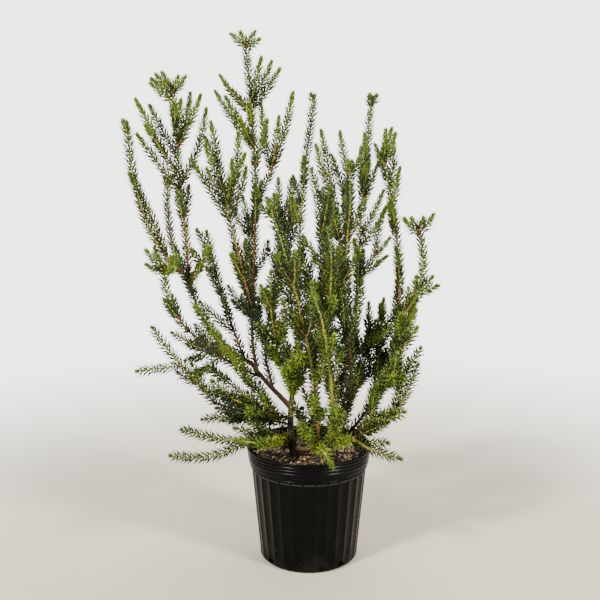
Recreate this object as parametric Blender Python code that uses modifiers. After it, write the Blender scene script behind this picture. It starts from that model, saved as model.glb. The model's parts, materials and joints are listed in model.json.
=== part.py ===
"""Potted heath banksia: an open, many-stemmed shrub in a black fluted nursery pot.

Metres, +Z up. The origin is the centre of the pot's flat underside. The front is -Y and the
right-hand side is +X. Lengths and places in the tables of limbs and foliage are in millimetres.
"""

import math
import random

import bmesh
import bpy
from mathutils import Vector

MM = 0.001
GAP = 0.3 * MM

# Pot: a lip band, a smooth collar under it, and a fluted wall that tapers to a chamfered foot.
POT_HEIGHT = 220 * MM
RIM_RADIUS = 120 * MM
LIP_DEPTH = 31 * MM
LIP_FOOT_RADIUS = 115.5 * MM
COLLAR_FOOT_HEIGHT = 180 * MM
COLLAR_TOP_RADIUS = 113.5 * MM
COLLAR_FOOT_RADIUS = 112 * MM
COLLAR_STEP = 1.2 * MM
WALL_FOOT_HEIGHT = 11 * MM
WALL_FOOT_RADIUS = 94.5 * MM
FOOT_CHAMFER = 7 * MM
WALL_THICKNESS = 3.6 * MM
FLOOR_THICKNESS = 3 * MM
FLOOR_INSET = 4.9 * MM
LIP_CHAMFER = (1 * MM, 3 * MM)
LIP_UNDERCUT = 1.5 * MM
COLLAR_CHAMFER = 2 * MM
FLUTES = 30
FLUTE_DEPTH = 1.8 * MM
DRAIN_HOLES = 4
DRAIN_WIDTH = 12 * MM
DRAIN_HEIGHT = 7 * MM
DRAIN_DEPTH = 24 * MM
DRAIN_INSET = 2 * MM
DRAIN_MIDDLE = 10 * MM
DRAIN_FIRST_TURN = math.radians(220)

# Potting mix: it fills the pot to a little under the rim, level round the trunk and lumpy beyond.
MIX_TOP = 197 * MM
MIX_LUMP = 2.5 * MM
MIX_STEPS = 30
MIX_LEVEL_RADIUS = 30 * MM
MIX_RINGS = (0.2, 0.4, 0.6, 0.8)
MIX_EDGE_SHARE = 0.95

# Trunk, with its flare in the last few centimetres above the mix.
TRUNK_FOOT = (-26, -6)
TRUNK_MIDDLE = (-35, -7, 275)
TRUNK_TOP = (-25, 3, 352)
TRUNK_RADIUS = (6.6, 4.4)
FLARE_RADIUS = 5.5 * MM
FLARE_HEIGHT = 16 * MM
LEVEL_HEIGHT = 4 * MM
TRUNK_SEGMENTS = 9
TRUNK_SIDES = 8
BOUGH_SEGMENTS = 5
BOUGH_SIDES = 6

# Shoots are slim cores with three rows of teeth, each tooth standing for a fan of needles. The neck
# at a shoot's foot has no teeth.
CORE_SIDES = 3
TOOTH_PITCH = 46 * MM
NECK = 14 * MM
NECK_SHARE = 0.3
TOOTH_REACH_OLD = 13.5 * MM
TOOTH_REACH_YOUNG = 5 * MM
YOUNG_LENGTH = 60 * MM
TOOTH_LEAN = 0.3
TOOTH_RADIUS = 0.8 * MM
TOOTH_PROBES = (0.5, 0.75)
TWIST = math.radians(33)
SHOOT_RADIUS = (1.6, 1.3)
STEM_TIP_RADIUS = 1.3
TRUNK_STEM_RADIUS = 2.0
STEM_FOOT_SHARE = 0.85
WAVER = 1.2 * MM

# Growth: how shoots turn upward and back to their parent's heading, how much each one differs, and
# how a whorl is staggered.
UPLIFT = 0.45
RETURN = 0.5
UPLIFT_LOW = 300 * MM
UPLIFT_HIGH = 480 * MM
TURN_JITTER = 14
SPREAD_JITTER = 5
LENGTH_SPAN = (0.82, 1.12)
WHORL_STAGGER = 3 * MM

# How far shoots, leaders and teeth keep from another mass, and how far from their own mass's shoots.
SHOOT_CLEARANCE = 7 * MM
LEADER_CLEARANCE = 3 * MM
TOOTH_CLEARANCE = 2.2 * MM
OWN_CLEARANCE = 1.5 * MM
FOOT_REACH = 5 * MM
PROBE_PITCH = 4 * MM
CLAIM_PITCH = 4 * MM
RIM_ROOM = 6 * MM
CELL = 18 * MM

# Corners nearer than the first are one, and faces that turn less than the second are one. A level
# heading with less than the third left square to a limb gives way to the upright one.
SAME_PLACE = 0.01 * MM
FLAT_ANGLE = math.radians(2)
LEAST_ACROSS = 0.1

PART_NAME = "potted_heath_banksia"


class Limb:
    """One tapering bough: its parent, how far along the parent it starts, a place and its tip."""

    def __init__(self, name, parent, at, by, tip, radii):
        self.name = name
        self.parent = parent
        self.at = at
        self.by = Vector(by) * MM
        self.tip = Vector(tip) * MM
        self.radii = [radius * MM for radius in radii]


class Foliage:
    """One mass of foliage: a stem that grows on from a bough, whorls of side shoots, and leaders.

    A whorl is its place along the stem, its number of shoots, their length in millimetres, their
    spread from the stem in degrees, and the compass turn of the first one. A leader is a shoot that
    reaches a given tip: the shoot that it leaves, where 0 is the stem and 1 the first leader, its
    place along that shoot, how far it bows as a share of its length, and its tip.
    """

    def __init__(self, name, bough, at, by, tip, whorls, leaders=()):
        self.name = name
        self.parent = bough
        self.at = at
        self.by = Vector(by) * MM
        self.tip = Vector(tip) * MM
        self.whorls = whorls
        self.leaders = leaders


BOUGHS = [
    Limb("left_bough", "trunk", 0.62, (-70, -12, 334), (-107, -15, 380), (4.9, 3.9)),
    Limb("left_leader_bough", "left_bough", 1.0, (-183, -32, 449), (-220, -32, 557), (3.3, 2.4)),
    Limb("top_leader_bough", "left_bough", 0.86, (-108, 8, 441), (-107, 18, 505), (3.0, 2.5)),
    Limb("left_spreading_bough", "left_bough", 0.72, (-155, -50, 398), (-217, -60, 451), (2.5, 1.9)),
    Limb("inner_back_bough", "left_bough", 0.45, (-84, 34, 398), (-78, 62, 452), (2.6, 2.0)),
    Limb("centre_bough", "trunk", 1.0, (-20, 8, 390), (-19, 13, 425), (3.4, 2.6)),
    Limb("centre_right_bough", "trunk", 0.88, (6, -20, 392), (22, -34, 435), (2.8, 2.2)),
    Limb("centre_back_bough", "trunk", 0.8, (-20, 54, 380), (-25, 92, 425), (2.8, 2.2)),
    Limb("right_low_bough", "trunk", 0.1, (28, -34, 225), (82, -38, 256), (4.6, 3.6)),
    Limb("right_outer_bough", "right_low_bough", 0.82, (138, -8, 334), (168, -18, 442), (3.0, 2.2)),
    Limb("right_inner_bough", "right_low_bough", 0.62, (74, 4, 330), (88, 20, 405), (2.9, 2.2)),
    Limb("right_spreading_bough", "right_inner_bough", 0.93, (120, -12, 432), (166, -40, 487), (2.2, 1.8)),
    Limb("right_lower_bough", "right_outer_bough", 0.45, (139, -46, 345), (159, -66, 373), (2.2, 1.8)),
    Limb("right_front_bough", "right_low_bough", 0.76, (76, -58, 370), (52, -66, 481), (2.3, 1.9)),
    Limb("low_left_bough", "trunk", 0.5, (-108, -26, 288), (-174, -35, 310), (2.6, 2.0)),
]

FOLIAGE = [
    Foliage("left_leader_foliage", "left_leader_bough", 1.0, (-231, -36, 712), (-241, -50, 880), [
        (0.3, 2, 60, 34, 80)], [
        (0, 0.93, 0.02, (-273, -62, 885)), (0, 0.97, 0.04, (-277, -32, 897)), (0, 0.99, 0, (-262, -72, 899)),
        (0, 0.99, 0, (-257, -42, 906)), (0, 0.98, 0.06, (-228, -60, 896)), (0, 0.97, 0.06, (-219, -36, 900)),
        (0, 0.5, 0, (-299, -70, 857)), (7, 0.3, 0.03, (-278, -98, 812)), (0, 0.62, 0, (-284, -22, 851)),
        (0, 0.44, 0, (-294, -90, 797)), (0, 0.69, 0.04, (-189, -70, 864)), (0, 0.7, 0.05, (-212, -25, 872)),
        (0, 0.71, 0.06, (-223, -66, 857)), (0, 0.8, 0.05, (-232, -82, 852)),
        (0, 0.48, 0.06, (-186, -10, 846))]),
    Foliage("far_left_foliage", "left_leader_bough", 0.93, (-284, -84, 650), (-307, -114, 815), [
        (0.95, 2, 22, 28, 60)], [
        (0, 0.22, 0.03, (-306, -104, 731))]),
    Foliage("left_back_foliage", "left_leader_bough", 0.8, (-262, 30, 622), (-268, 66, 724), [
        (0.94, 2, 22, 30, 0), (0.25, 1, 60, 32, 100)]),
    Foliage("left_inner_tuft", "left_leader_bough", 0.96, (-192, -58, 562), (-179, -66, 602), [
        (0.3, 1, 30, 40, 280)], [
        (0, 0.6, 0.08, (-208, -74, 600))]),
    Foliage("left_cluster_foliage", "left_spreading_bough", 1.0, (-251, -72, 510), (-256, -84, 572), [
        (0.25, 2, 44, 36, 250)], [
        (0, 0.92, 0.03, (-282, -104, 600)), (0, 0.94, 0.03, (-275, -66, 600)),
        (0, 0.91, 0.1, (-284, -90, 574)),
        (0, 0.92, 0.04, (-235, -112, 591)), (0, 0.89, 0.05, (-232, -60, 580)),
        (0, 0.9, 0.08, (-234, -118, 571))]),
    Foliage("inner_left_foliage", "left_leader_bough", 0.07, (-167, 30, 507), (-196, 56, 622), [
        (0.66, 2, 66, 30, 70), (0.3, 1, 80, 22, 10)], [
        (0, 0.78, 0.03, (-212, 42, 626)), (0, 0.5, 0.02, (-193, 24, 556)), (0, 0.22, 0.02, (-204, 10, 492))]),
    Foliage("inner_left_low_foliage", "left_leader_bough", 0.24, (-200, 30, 400), (-264, 45, 427), [
        (0.5, 2, 40, 34, 60)], [
        (0, 0.12, 0.03, (-236, 20, 379)), (0, 0.05, 0.1, (-225, 0, 349)), (0, 0.3, 0.03, (-222, 60, 440))]),
    Foliage("top_leader_foliage", "top_leader_bough", 1.0, (-101, 24, 722), (-116, 15, 966), [
        (0.3, 2, 75, 32, 80)], [
        (0, 0.985, 0.04, (-141, 30, 983)), (0, 0.99, 0, (-122, -8, 980)), (0, 0.99, 0.03, (-100, 20, 985)),
        (0, 0.98, 0.04, (-90, -12, 968)), (0, 0.78, 0.06, (-86, -20, 934)), (0, 0.77, 0.03, (-70, 34, 935)),
        (0, 0.75, 0.05, (-55, -2, 917)), (0, 0.73, 0.04, (-158, -14, 904)), (0, 0.75, 0.02, (-147, 40, 887)),
        (0, 0.59, 0.02, (-172, 30, 881)), (0, 0.62, 0.02, (-148, -25, 866)),
        (0, 0.68, 0.04, (-107, -38, 854)),
        (0, 0.6, 0.04, (-123, -44, 826)), (0, 0.37, 0.05, (-30, -6, 875)), (14, 0.33, 0.03, (-89, 26, 859)),
        (14, 0.36, 0, (-54, -44, 830)), (0, 0.52, 0.04, (-75, -35, 825))]),
    Foliage("top_left_foliage", "top_leader_bough", 0.85, (-140, -40, 640), (-171, -66, 818), [
        (0.2, 2, 60, 34, 60)], [
        (0, 0.78, 0.02, (-184, -50, 795)), (0, 0.66, 0.02, (-179, -90, 779)), (0, 0.5, 0, (-207, -66, 755)),
        (0, 0.56, 0.03, (-185, -20, 740)), (0, 0.56, 0.05, (-126, -44, 802)),
        (0, 0.64, 0.04, (-111, -100, 764)),
        (0, 0.52, 0.05, (-114, -22, 742)), (0, 0.6, 0.03, (-133, -98, 754))]),
    Foliage("top_back_foliage", "top_leader_bough", 0.7, (-116, 78, 600), (-129, 104, 686), [
        (0.7, 3, 55, 32, 80), (0.35, 3, 85, 34, 30)]),
    Foliage("inner_back_foliage", "inner_back_bough", 1.0, (-60, 96, 600), (-60, 124, 722), [
        (0.7, 3, 62, 30, 0), (0.38, 3, 90, 34, 60)]),
    Foliage("centre_foliage", "centre_bough", 1.0, (-16, 24, 650), (10, 40, 874), [
        (0.98, 2, 18, 30, 0), (0.42, 2, 80, 28, 60), (0.2, 3, 90, 34, 260)], [
        (0, 0.63, 0.03, (-10, -6, 762)), (0, 0.55, 0.05, (-30, 60, 728)), (0, 0.47, 0.03, (-32, -20, 690))]),
    Foliage("centre_back_foliage", "centre_back_bough", 1.0, (-42, 152, 570), (-35, 188, 722), [
        (0.66, 4, 76, 30, 40), (0.3, 3, 100, 34, 90)]),
    Foliage("centre_front_foliage", "trunk", 0.93, (-61, -34, 420), (-68, -84, 560), [
        (0.7, 3, 50, 34, 250), (0.4, 3, 66, 34, 200), (0.2, 2, 60, 36, 150)]),
    Foliage("centre_right_foliage", "centre_right_bough", 1.0, (22, -66, 600), (4, -86, 738), [
        (0.62, 3, 85, 26, 300), (0.28, 3, 90, 34, 200)]),
    Foliage("centre_right_front_foliage", "centre_right_bough", 0.9, (36, -112, 540), (30, -136, 638), [
        (0.35, 2, 70, 38, 280)], [
        (0, 0.62, 0.05, (-7, -120, 619)), (0, 0.66, 0.05, (46, -128, 606)), (0, 0.64, 0.12, (55, -110, 584)),
        (0, 0.84, 0.05, (14, -100, 629))]),
    Foliage("right_star_foliage", "centre_right_bough", 0.78, (70, 34, 610), (59, 58, 810), [
        (0.6, 2, 80, 24, 80), (0.25, 2, 80, 32, 60)], [
        (0, 0.4, -0.02, (22, 20, 810)), (1, 0.35, 0, (12, -24, 782)), (0, 0.68, 0, (45, 90, 767)),
        (1, 0.2, 0.02, (35, -46, 687)), (1, 0.17, 0, (19, 60, 698))]),
    Foliage("far_back_foliage", "centre_back_bough", 0.84, (34, 158, 560), (30, 206, 702), [
        (0.64, 3, 78, 30, 20), (0.3, 3, 95, 34, 50)]),
    Foliage("right_front_foliage", "right_front_bough", 1.0, (65, -96, 618), (69, -126, 750), [
        (0.94, 3, 24, 36, 0), (0.55, 3, 75, 26, 240), (0.25, 2, 60, 34, 300)]),
    Foliage("right_inner_foliage", "right_inner_bough", 1.0, (97, 25, 630), (117, 38, 872), [
        (0.97, 3, 22, 34, 0), (0.66, 1, 80, 22, 90), (0.25, 2, 80, 34, 80)], [
        (0, 0.62, 0.02, (101, 2, 803)), (0, 0.6, 0.04, (99, 62, 781)), (0, 0.65, 0.03, (108, -10, 751)),
        (0, 0.59, 0.03, (129, 40, 752)), (0, 0.45, 0.05, (142, 60, 700)), (0, 0.41, 0.08, (140, -16, 672)),
        (0, 0.31, 0.06, (156, 70, 609)), (0, 0.29, 0.06, (144, 8, 580)), (7, 0.5, 0.1, (145, 50, 668)),
        (0, 0.35, 0.03, (81, -30, 614))]),
    Foliage("right_outer_foliage", "right_outer_bough", 1.0, (160, -20, 620), (128, -30, 766), [
        (0.55, 2, 70, 24, 60), (0.3, 1, 60, 28, 250)], [
        (0, 0.97, 0.04, (134, -45, 807)), (0, 0.98, 0.06, (147, -15, 811)), (0, 0.95, 0.08, (150, -50, 800)),
        (0, 0.8, 0.06, (154, 0, 785)), (0, 0.72, 0.04, (158, -60, 741)), (0, 0.58, 0.02, (142, -70, 687)),
        (0, 0.85, 0.04, (120, -5, 783))]),
    Foliage("far_right_foliage", "right_spreading_bough", 1.0, (200, -60, 545), (193, -72, 638), [
        (0.3, 2, 34, 38, 20)], [
        (0, 0.95, 0.12, (165, -88, 654)), (0, 0.96, 0.05, (183, -50, 653)), (0, 0.97, 0, (198, -80, 654)),
        (0, 0.95, 0.06, (218, -64, 660))]),
    Foliage("far_right_low_foliage", "right_outer_bough", 0.8, (179, -72, 500), (220, -112, 540), [
        (0.6, 2, 34, 34, 120)], [
        (0, 0.86, 0.08, (206, -100, 530))]),
    Foliage("right_skirt_foliage", "right_lower_bough", 1.0, (167, -70, 428), (188, -85, 493), [
        (0.4, 1, 36, 30, 180)], [
        (0, 0.4, 0.08, (188, -104, 466))]),
    Foliage("low_right_foliage", "right_low_bough", 1.0, (151, -70, 300), (195, -75, 391), [
        (0.4, 2, 50, 34, 100)], [
        (0, 0.45, 0.03, (194, -104, 428)), (0, 0.16, 0.03, (145, -116, 408)),
        (0, 0.06, 0.05, (147, -85, 310))]),
    Foliage("low_right_front_foliage", "right_lower_bough", 0.66, (147, -104, 376), (150, -132, 424), [
        (0.4, 2, 36, 36, 240)]),
    Foliage("right_back_foliage", "right_inner_bough", 0.25, (104, 22, 366), (116, 46, 484), [
        (0.3, 2, 60, 36, 60)], [
        (0, 0.6, 0.04, (129, 34, 452)), (0, 0.3, 0.04, (151, 70, 380))]),
    Foliage("front_tall_foliage", "right_low_bough", 0.44, (-8, -112, 455), (-72, -146, 690), [
        (0.95, 4, 30, 42, 0), (0.7, 3, 62, 28, 200), (0.5, 3, 85, 32, 220), (0.3, 3, 80, 34, 60),
        (0.14, 2, 60, 40, 130)]),
    Foliage("front_bright_foliage", "right_low_bough", 0.68, (30, -132, 424), (5, -152, 539), [
        (0.55, 2, 50, 28, 240), (0.35, 2, 60, 34, 100)]),
    Foliage("rim_front_foliage", "right_low_bough", 0.35, (22, -98, 242), (39, -136, 225), [
        (0.5, 1, 30, 46, 30)], [
        (0, 0.3, 0.05, (-17, -130, 298)), (0, 0.1, 0.04, (-28, -64, 319)), (0, 0.08, 0.03, (4, -16, 299))]),
    Foliage("front_low_foliage", "right_low_bough", 0.56, (48, -104, 294), (37, -132, 336), [
        (0.5, 2, 38, 34, 250)], [
        (0, 0.1, 0.05, (74, -108, 264))]),
    Foliage("rim_right_foliage", "right_low_bough", 0.92, (108, -86, 240), (162, -107, 228), [], [
        (0, 0.35, 0.04, (140, -92, 252)), (0, 0.12, 0.05, (140, -70, 281))]),
    Foliage("low_left_foliage", "low_left_bough", 1.0, (-242, -42, 392), (-284, -56, 456), [
        (0.3, 2, 44, 34, 340)], [
        (0, 0.54, 0.1, (-311, -62, 378))]),
    Foliage("low_left_back_foliage", "trunk", 0.4, (-122, 6, 270), (-206, 26, 260), [
        (0.5, 2, 44, 34, 100)], [
        (0, 0.45, 0.04, (-180, 46, 276))]),
    Foliage("rim_left_foliage", "trunk", 0.2, (-140, -50, 242), (-230, -80, 273), [
        (0.3, 1, 30, 36, 120)], [
        (0, 0.42, 0.1, (-249, -97, 230))]),
    Foliage("drooping_left_foliage", "trunk", 0.3, (-86, -62, 243), (-134, -84, 255), [
        (0.55, 1, 36, 36, 100)], [
        (0, 0.35, 0.04, (-137, -40, 262)), (0, 0.2, 0.03, (-109, -60, 278))]),
    Foliage("back_low_foliage", "centre_back_bough", 0.55, (14, 118, 390), (40, 176, 460), [
        (0.72, 3, 55, 36, 60), (0.4, 3, 74, 36, 20)]),
    Foliage("back_left_foliage", "inner_back_bough", 0.7, (-112, 112, 450), (-136, 168, 556), [
        (0.72, 3, 55, 34, 120), (0.38, 3, 84, 36, 100)]),
    Foliage("lower_left_foliage", "low_left_bough", 0.14, (-112, -52, 309), (-194, -58, 346), [
        (0.72, 1, 40, 32, 70), (0.35, 2, 50, 36, 80)], [
        (0, 0.62, 0.04, (-176, -72, 361)), (0, 0.3, 0.06, (-187, -40, 380)),
        (0, 0.14, 0.05, (-132, -70, 384)), (0, 0.07, 0.02, (-86, -80, 340))]),
    Foliage("centre_low_foliage", "trunk", 0.78, (-26, -66, 366), (-20, -118, 440), [
        (0.72, 3, 50, 36, 280), (0.42, 3, 66, 38, 240)]),
    Foliage("right_low_inner_foliage", "right_low_bough", 0.5, (66, 46, 330), (72, 104, 420), [
        (0.72, 3, 52, 36, 60), (0.42, 3, 70, 38, 20)]),
    Foliage("right_back_low_foliage", "right_outer_bough", 0.3, (137, 14, 396), (133, 0, 489), [
        (0.35, 2, 56, 36, 70)], [
        (0, 0.8, 0.04, (142, 24, 495))]),
]


def clear_scene():
    """Remove every object, so that the script gives the same result each time."""
    for item in list(bpy.data.objects):
        bpy.data.objects.remove(item, do_unlink=True)


def new_collection(name):
    collection = bpy.data.collections.new(name)
    bpy.context.scene.collection.children.link(collection)
    return collection


def make_material(name, color, roughness, metallic=0.0):
    material = bpy.data.materials.new(name)
    material.use_nodes = True
    shader = material.node_tree.nodes["Principled BSDF"]
    shader.inputs["Base Color"].default_value = (*color, 1)
    shader.inputs["Roughness"].default_value = roughness
    shader.inputs["Metallic"].default_value = metallic
    material.diffuse_color = (*color, 1)
    return material


def add_object(name, mesh, collection, material=None):
    item = bpy.data.objects.new(name, mesh)
    collection.objects.link(item)
    if material:
        mesh.materials.append(material)
    return item


def evaluated_mesh(item):
    """The item's shape with its modifiers and bevels, as a new mesh."""
    depsgraph = bpy.context.evaluated_depsgraph_get()
    return bpy.data.meshes.new_from_object(item.evaluated_get(depsgraph))


def apply_modifiers(item):
    mesh = evaluated_mesh(item)
    item.modifiers.clear()
    old = item.data
    item.data = mesh
    bpy.data.meshes.remove(old)


def turned(name, profile, steps, collection, material):
    """A solid of revolution: the profile runs down its outer side, from axis to axis."""
    mesh = bpy.data.meshes.new(name)
    edges = [(index, index + 1) for index in range(len(profile) - 1)]
    mesh.from_pydata([(radius, 0, height) for radius, height in profile], edges, [])
    item = add_object(name, mesh, collection, material)
    screw = item.modifiers.new("turn", "SCREW")
    screw.steps = steps
    screw.render_steps = steps
    screw.use_merge_vertices = True
    screw.merge_threshold = SAME_PLACE
    apply_modifiers(item)
    return item


def wall_radius(height):
    """Outer radius of the fluted wall's crests at a height."""
    share = (height - WALL_FOOT_HEIGHT) / (COLLAR_FOOT_HEIGHT - WALL_FOOT_HEIGHT)
    top = COLLAR_FOOT_RADIUS - COLLAR_STEP
    return WALL_FOOT_RADIUS + (top - WALL_FOOT_RADIUS) * share


def inner_radius(height):
    """Inner radius of the pot at a height."""
    if height > COLLAR_FOOT_HEIGHT:
        share = (height - COLLAR_FOOT_HEIGHT) / (POT_HEIGHT - COLLAR_FOOT_HEIGHT)
        top = RIM_RADIUS - WALL_THICKNESS
        foot = wall_radius(COLLAR_FOOT_HEIGHT) - WALL_THICKNESS
        return foot + (top - foot) * share
    return wall_radius(height) - WALL_THICKNESS


def floor_radius():
    """Radius of the pot's inner floor, inside the slope that meets the wall."""
    return inner_radius(FLOOR_THICKNESS) - FLOOR_INSET


def build_pot(collection, cutters, material):
    lip_foot = POT_HEIGHT - LIP_DEPTH
    profile = [
        (0, FLOOR_THICKNESS),
        (floor_radius(), FLOOR_THICKNESS),
        (inner_radius(WALL_FOOT_HEIGHT), WALL_FOOT_HEIGHT),
        (inner_radius(COLLAR_FOOT_HEIGHT), COLLAR_FOOT_HEIGHT),
        (inner_radius(POT_HEIGHT), POT_HEIGHT),
        (RIM_RADIUS - LIP_CHAMFER[0], POT_HEIGHT),
        (RIM_RADIUS, POT_HEIGHT - LIP_CHAMFER[1]),
        (LIP_FOOT_RADIUS, lip_foot),
        (COLLAR_TOP_RADIUS, lip_foot - LIP_UNDERCUT),
        (COLLAR_FOOT_RADIUS, COLLAR_FOOT_HEIGHT),
        (wall_radius(COLLAR_FOOT_HEIGHT), COLLAR_FOOT_HEIGHT - COLLAR_CHAMFER),
        (wall_radius(WALL_FOOT_HEIGHT), WALL_FOOT_HEIGHT),
        (WALL_FOOT_RADIUS - FOOT_CHAMFER, 0),
        (0, 0),
    ]
    pot = turned("pot", profile, 2 * FLUTES, collection, material)
    carve_flutes(pot.data)
    drain_pot(pot, cutters)
    return pot


def carve_flutes(mesh):
    """Draw every other column of the wall inward, which leaves one crest to each flute."""
    top = COLLAR_FOOT_HEIGHT - COLLAR_CHAMFER
    for vertex in mesh.vertices:
        radius = math.hypot(vertex.co.x, vertex.co.y)
        on_wall = WALL_FOOT_HEIGHT - MM < vertex.co.z < top + MM / 2
        if not on_wall or radius < wall_radius(vertex.co.z) - MM:
            continue
        column = round(math.atan2(vertex.co.y, vertex.co.x) / (math.pi / FLUTES))
        if column % 2:
            share = 1 - FLUTE_DEPTH / radius
            vertex.co.x *= share
            vertex.co.y *= share


def drain_pot(pot, cutters):
    """Cut the drain holes through the bottom corner."""
    for index in range(DRAIN_HOLES):
        turn = DRAIN_FIRST_TURN + index * 2 * math.pi / DRAIN_HOLES
        bpy.ops.mesh.primitive_cube_add(size=1)
        cutter = bpy.context.object
        cutter.name = f"drain_cutter_{index}"
        cutter.scale = (DRAIN_DEPTH, DRAIN_WIDTH, DRAIN_HEIGHT)
        cutter.rotation_euler.z = turn
        radius = WALL_FOOT_RADIUS - DRAIN_INSET
        cutter.location = (radius * math.cos(turn), radius * math.sin(turn), DRAIN_MIDDLE)
        hide_as_cutter(cutter, cutters)
        cut = pot.modifiers.new("drain", "BOOLEAN")
        cut.operation = "DIFFERENCE"
        cut.object = cutter
    apply_modifiers(pot)
    for cutter in list(cutters.objects):
        bpy.data.objects.remove(cutter, do_unlink=True)


def hide_as_cutter(item, cutters):
    item.hide_render = True
    item.display_type = "WIRE"
    for holder in list(item.users_collection):
        holder.objects.unlink(item)
    cutters.objects.link(item)


def build_mix(collection, material):
    """The filled pot's contents, one gap clear of the wall and the floor."""
    floor = FLOOR_THICKNESS + GAP
    flat = math.cos(math.pi / (2 * FLUTES))
    top_radius = inner_radius(MIX_TOP) * flat - 2 * GAP
    profile = [(0, MIX_TOP)]
    profile += [(top_radius * share, MIX_TOP) for share in MIX_RINGS]
    profile += [
        (top_radius, MIX_TOP),
        (inner_radius(COLLAR_FOOT_HEIGHT) * flat - 2 * GAP, COLLAR_FOOT_HEIGHT),
        (inner_radius(WALL_FOOT_HEIGHT) * flat - 2 * GAP, WALL_FOOT_HEIGHT + GAP),
        (floor_radius() * flat - 2 * GAP, floor),
        (0, floor),
    ]
    mix = turned("potting_mix", profile, MIX_STEPS, collection, material)
    chance = random.Random(7)
    for vertex in mix.data.vertices:
        place = Vector((vertex.co.x / MM - TRUNK_FOOT[0], vertex.co.y / MM - TRUNK_FOOT[1]))
        inside = math.hypot(vertex.co.x, vertex.co.y) < top_radius * MIX_EDGE_SHARE
        if vertex.co.z > MIX_TOP - MM and inside and place.length * MM > MIX_LEVEL_RADIUS:
            vertex.co.z -= chance.uniform(0, MIX_LUMP)
    return mix


class Space:
    """Remembers which part holds each place, so that every mass of foliage keeps to its own.

    An owner is a node's name and the number of the shoot within it.
    """

    def __init__(self):
        self.cells = {}

    def cell(self, point):
        return tuple(math.floor(value / CELL) for value in point)

    def claim(self, owner, point, radius):
        self.cells.setdefault(self.cell(point), []).append((point.copy(), radius, owner))

    def claim_route(self, owner, points, radii):
        """Claim a place every few millimetres along a limb."""
        for start, end, radius in zip(points, points[1:], radii):
            count = max(1, round((end - start).length / CLAIM_PITCH))
            for step in range(count):
                self.claim(owner, start.lerp(end, step / count), radius)
        self.claim(owner, points[-1], radii[-1])

    def is_clear(self, owner, point, distance, crosses_own=False):
        """Whether a place is free. A leader may cross its own mass, as it is fused to it anyway."""
        home = self.cell(point)
        for x in (-1, 0, 1):
            for y in (-1, 0, 1):
                for z in (-1, 0, 1):
                    held = self.cells.get((home[0] + x, home[1] + y, home[2] + z), ())
                    for other, radius, holder in held:
                        if holder == owner:
                            continue
                        same = holder[0] == owner[0]
                        if same and crosses_own:
                            continue
                        room = OWN_CLEARANCE if same else distance
                        if (other - point).length < radius + room:
                            return False
        return not touches_pot(point, distance)


def touches_pot(point, distance):
    """Whether a place lies in the pot or its mix, or nearer to them than the distance."""
    radius = math.hypot(point.x, point.y)
    if point.z < MIX_TOP + distance and radius < RIM_RADIUS + distance:
        return True
    near_rim = abs(radius - inner_radius(POT_HEIGHT)) < distance + RIM_ROOM
    return near_rim and point.z < POT_HEIGHT + distance


def even_shares(segments):
    return [step / segments for step in range(segments + 1)]


def tooth_shares(length):
    """Shares along a shoot: a short plain neck, then one stretch to each whorl of teeth."""
    neck = min(NECK / length, NECK_SHARE)
    count = max(1, round((length - NECK) / TOOTH_PITCH))
    return [0] + [neck + (1 - neck) * share for share in even_shares(count)]


def route(foot, by, tip, shares):
    """Points on the smooth curve that leaves the foot, passes by a place and ends at the tip."""
    pull = 2 * by - (foot + tip) / 2
    points = []
    for share in shares:
        points.append((1 - share) ** 2 * foot + 2 * share * (1 - share) * pull + share ** 2 * tip)
    return points


def route_length(points):
    return sum((end - start).length for start, end in zip(points, points[1:]))


def place_on(points, share):
    """The point at a share of the way along a route, and the route's direction there."""
    wanted = route_length(points) * share
    for start, end in zip(points, points[1:]):
        step = (end - start).length
        if wanted <= step or end is points[-1]:
            return start.lerp(end, min(1, wanted / step)), (end - start).normalized()
        wanted -= step


def taper(radii, count):
    return [radii[0] + (radii[1] - radii[0]) * index / (count - 1) for index in range(count)]


def trunk_points():
    foot = Vector((TRUNK_FOOT[0], TRUNK_FOOT[1], 0)) * MM
    foot.z = MIX_TOP + GAP
    shares = even_shares(TRUNK_SEGMENTS)
    points = route(foot, Vector(TRUNK_MIDDLE) * MM, Vector(TRUNK_TOP) * MM, shares)
    radii = taper([radius * MM for radius in TRUNK_RADIUS], len(points))
    for index, point in enumerate(points):
        radii[index] += FLARE_RADIUS * math.exp(-(point.z - foot.z) / FLARE_HEIGHT)
    return points, radii


def section_ring(sides, guides):
    """A ring of unit radius that gives a tube its cross-section."""
    curve = bpy.data.curves.new(f"section_{sides}", "CURVE")
    spline = curve.splines.new("POLY")
    spline.points.add(sides - 1)
    for index, slot in enumerate(spline.points):
        turn = 2 * math.pi * index / sides
        slot.co = (math.cos(turn), math.sin(turn), 0, 1)
    spline.use_cyclic_u = True
    ring = bpy.data.objects.new(f"section_{sides}", curve)
    hide_as_cutter(ring, guides)
    return ring


def tube_mesh(name, points, radii, ring, twist=0.0):
    """A closed tube along the points, with flat caps and its own radius at each."""
    curve = bpy.data.curves.new(name, "CURVE")
    curve.dimensions = "3D"
    curve.twist_mode = "MINIMUM"
    spline = curve.splines.new("POLY")
    spline.points.add(len(points) - 1)
    for index, slot in enumerate(spline.points):
        slot.co = (*points[index], 1)
        slot.radius = radii[index]
        slot.tilt = twist * index
    curve.bevel_mode = "OBJECT"
    curve.bevel_object = ring
    curve.use_fill_caps = True
    item = bpy.data.objects.new(name, curve)
    bpy.context.scene.collection.objects.link(item)
    mesh = evaluated_mesh(item)
    bpy.data.objects.remove(item, do_unlink=True)
    bpy.data.curves.remove(curve)
    shape = bmesh.new()
    shape.from_mesh(mesh)
    bmesh.ops.remove_doubles(shape, verts=shape.verts, dist=SAME_PLACE)
    bmesh.ops.recalc_face_normals(shape, faces=shape.faces)
    shape.to_mesh(mesh)
    shape.free()
    return mesh


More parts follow.
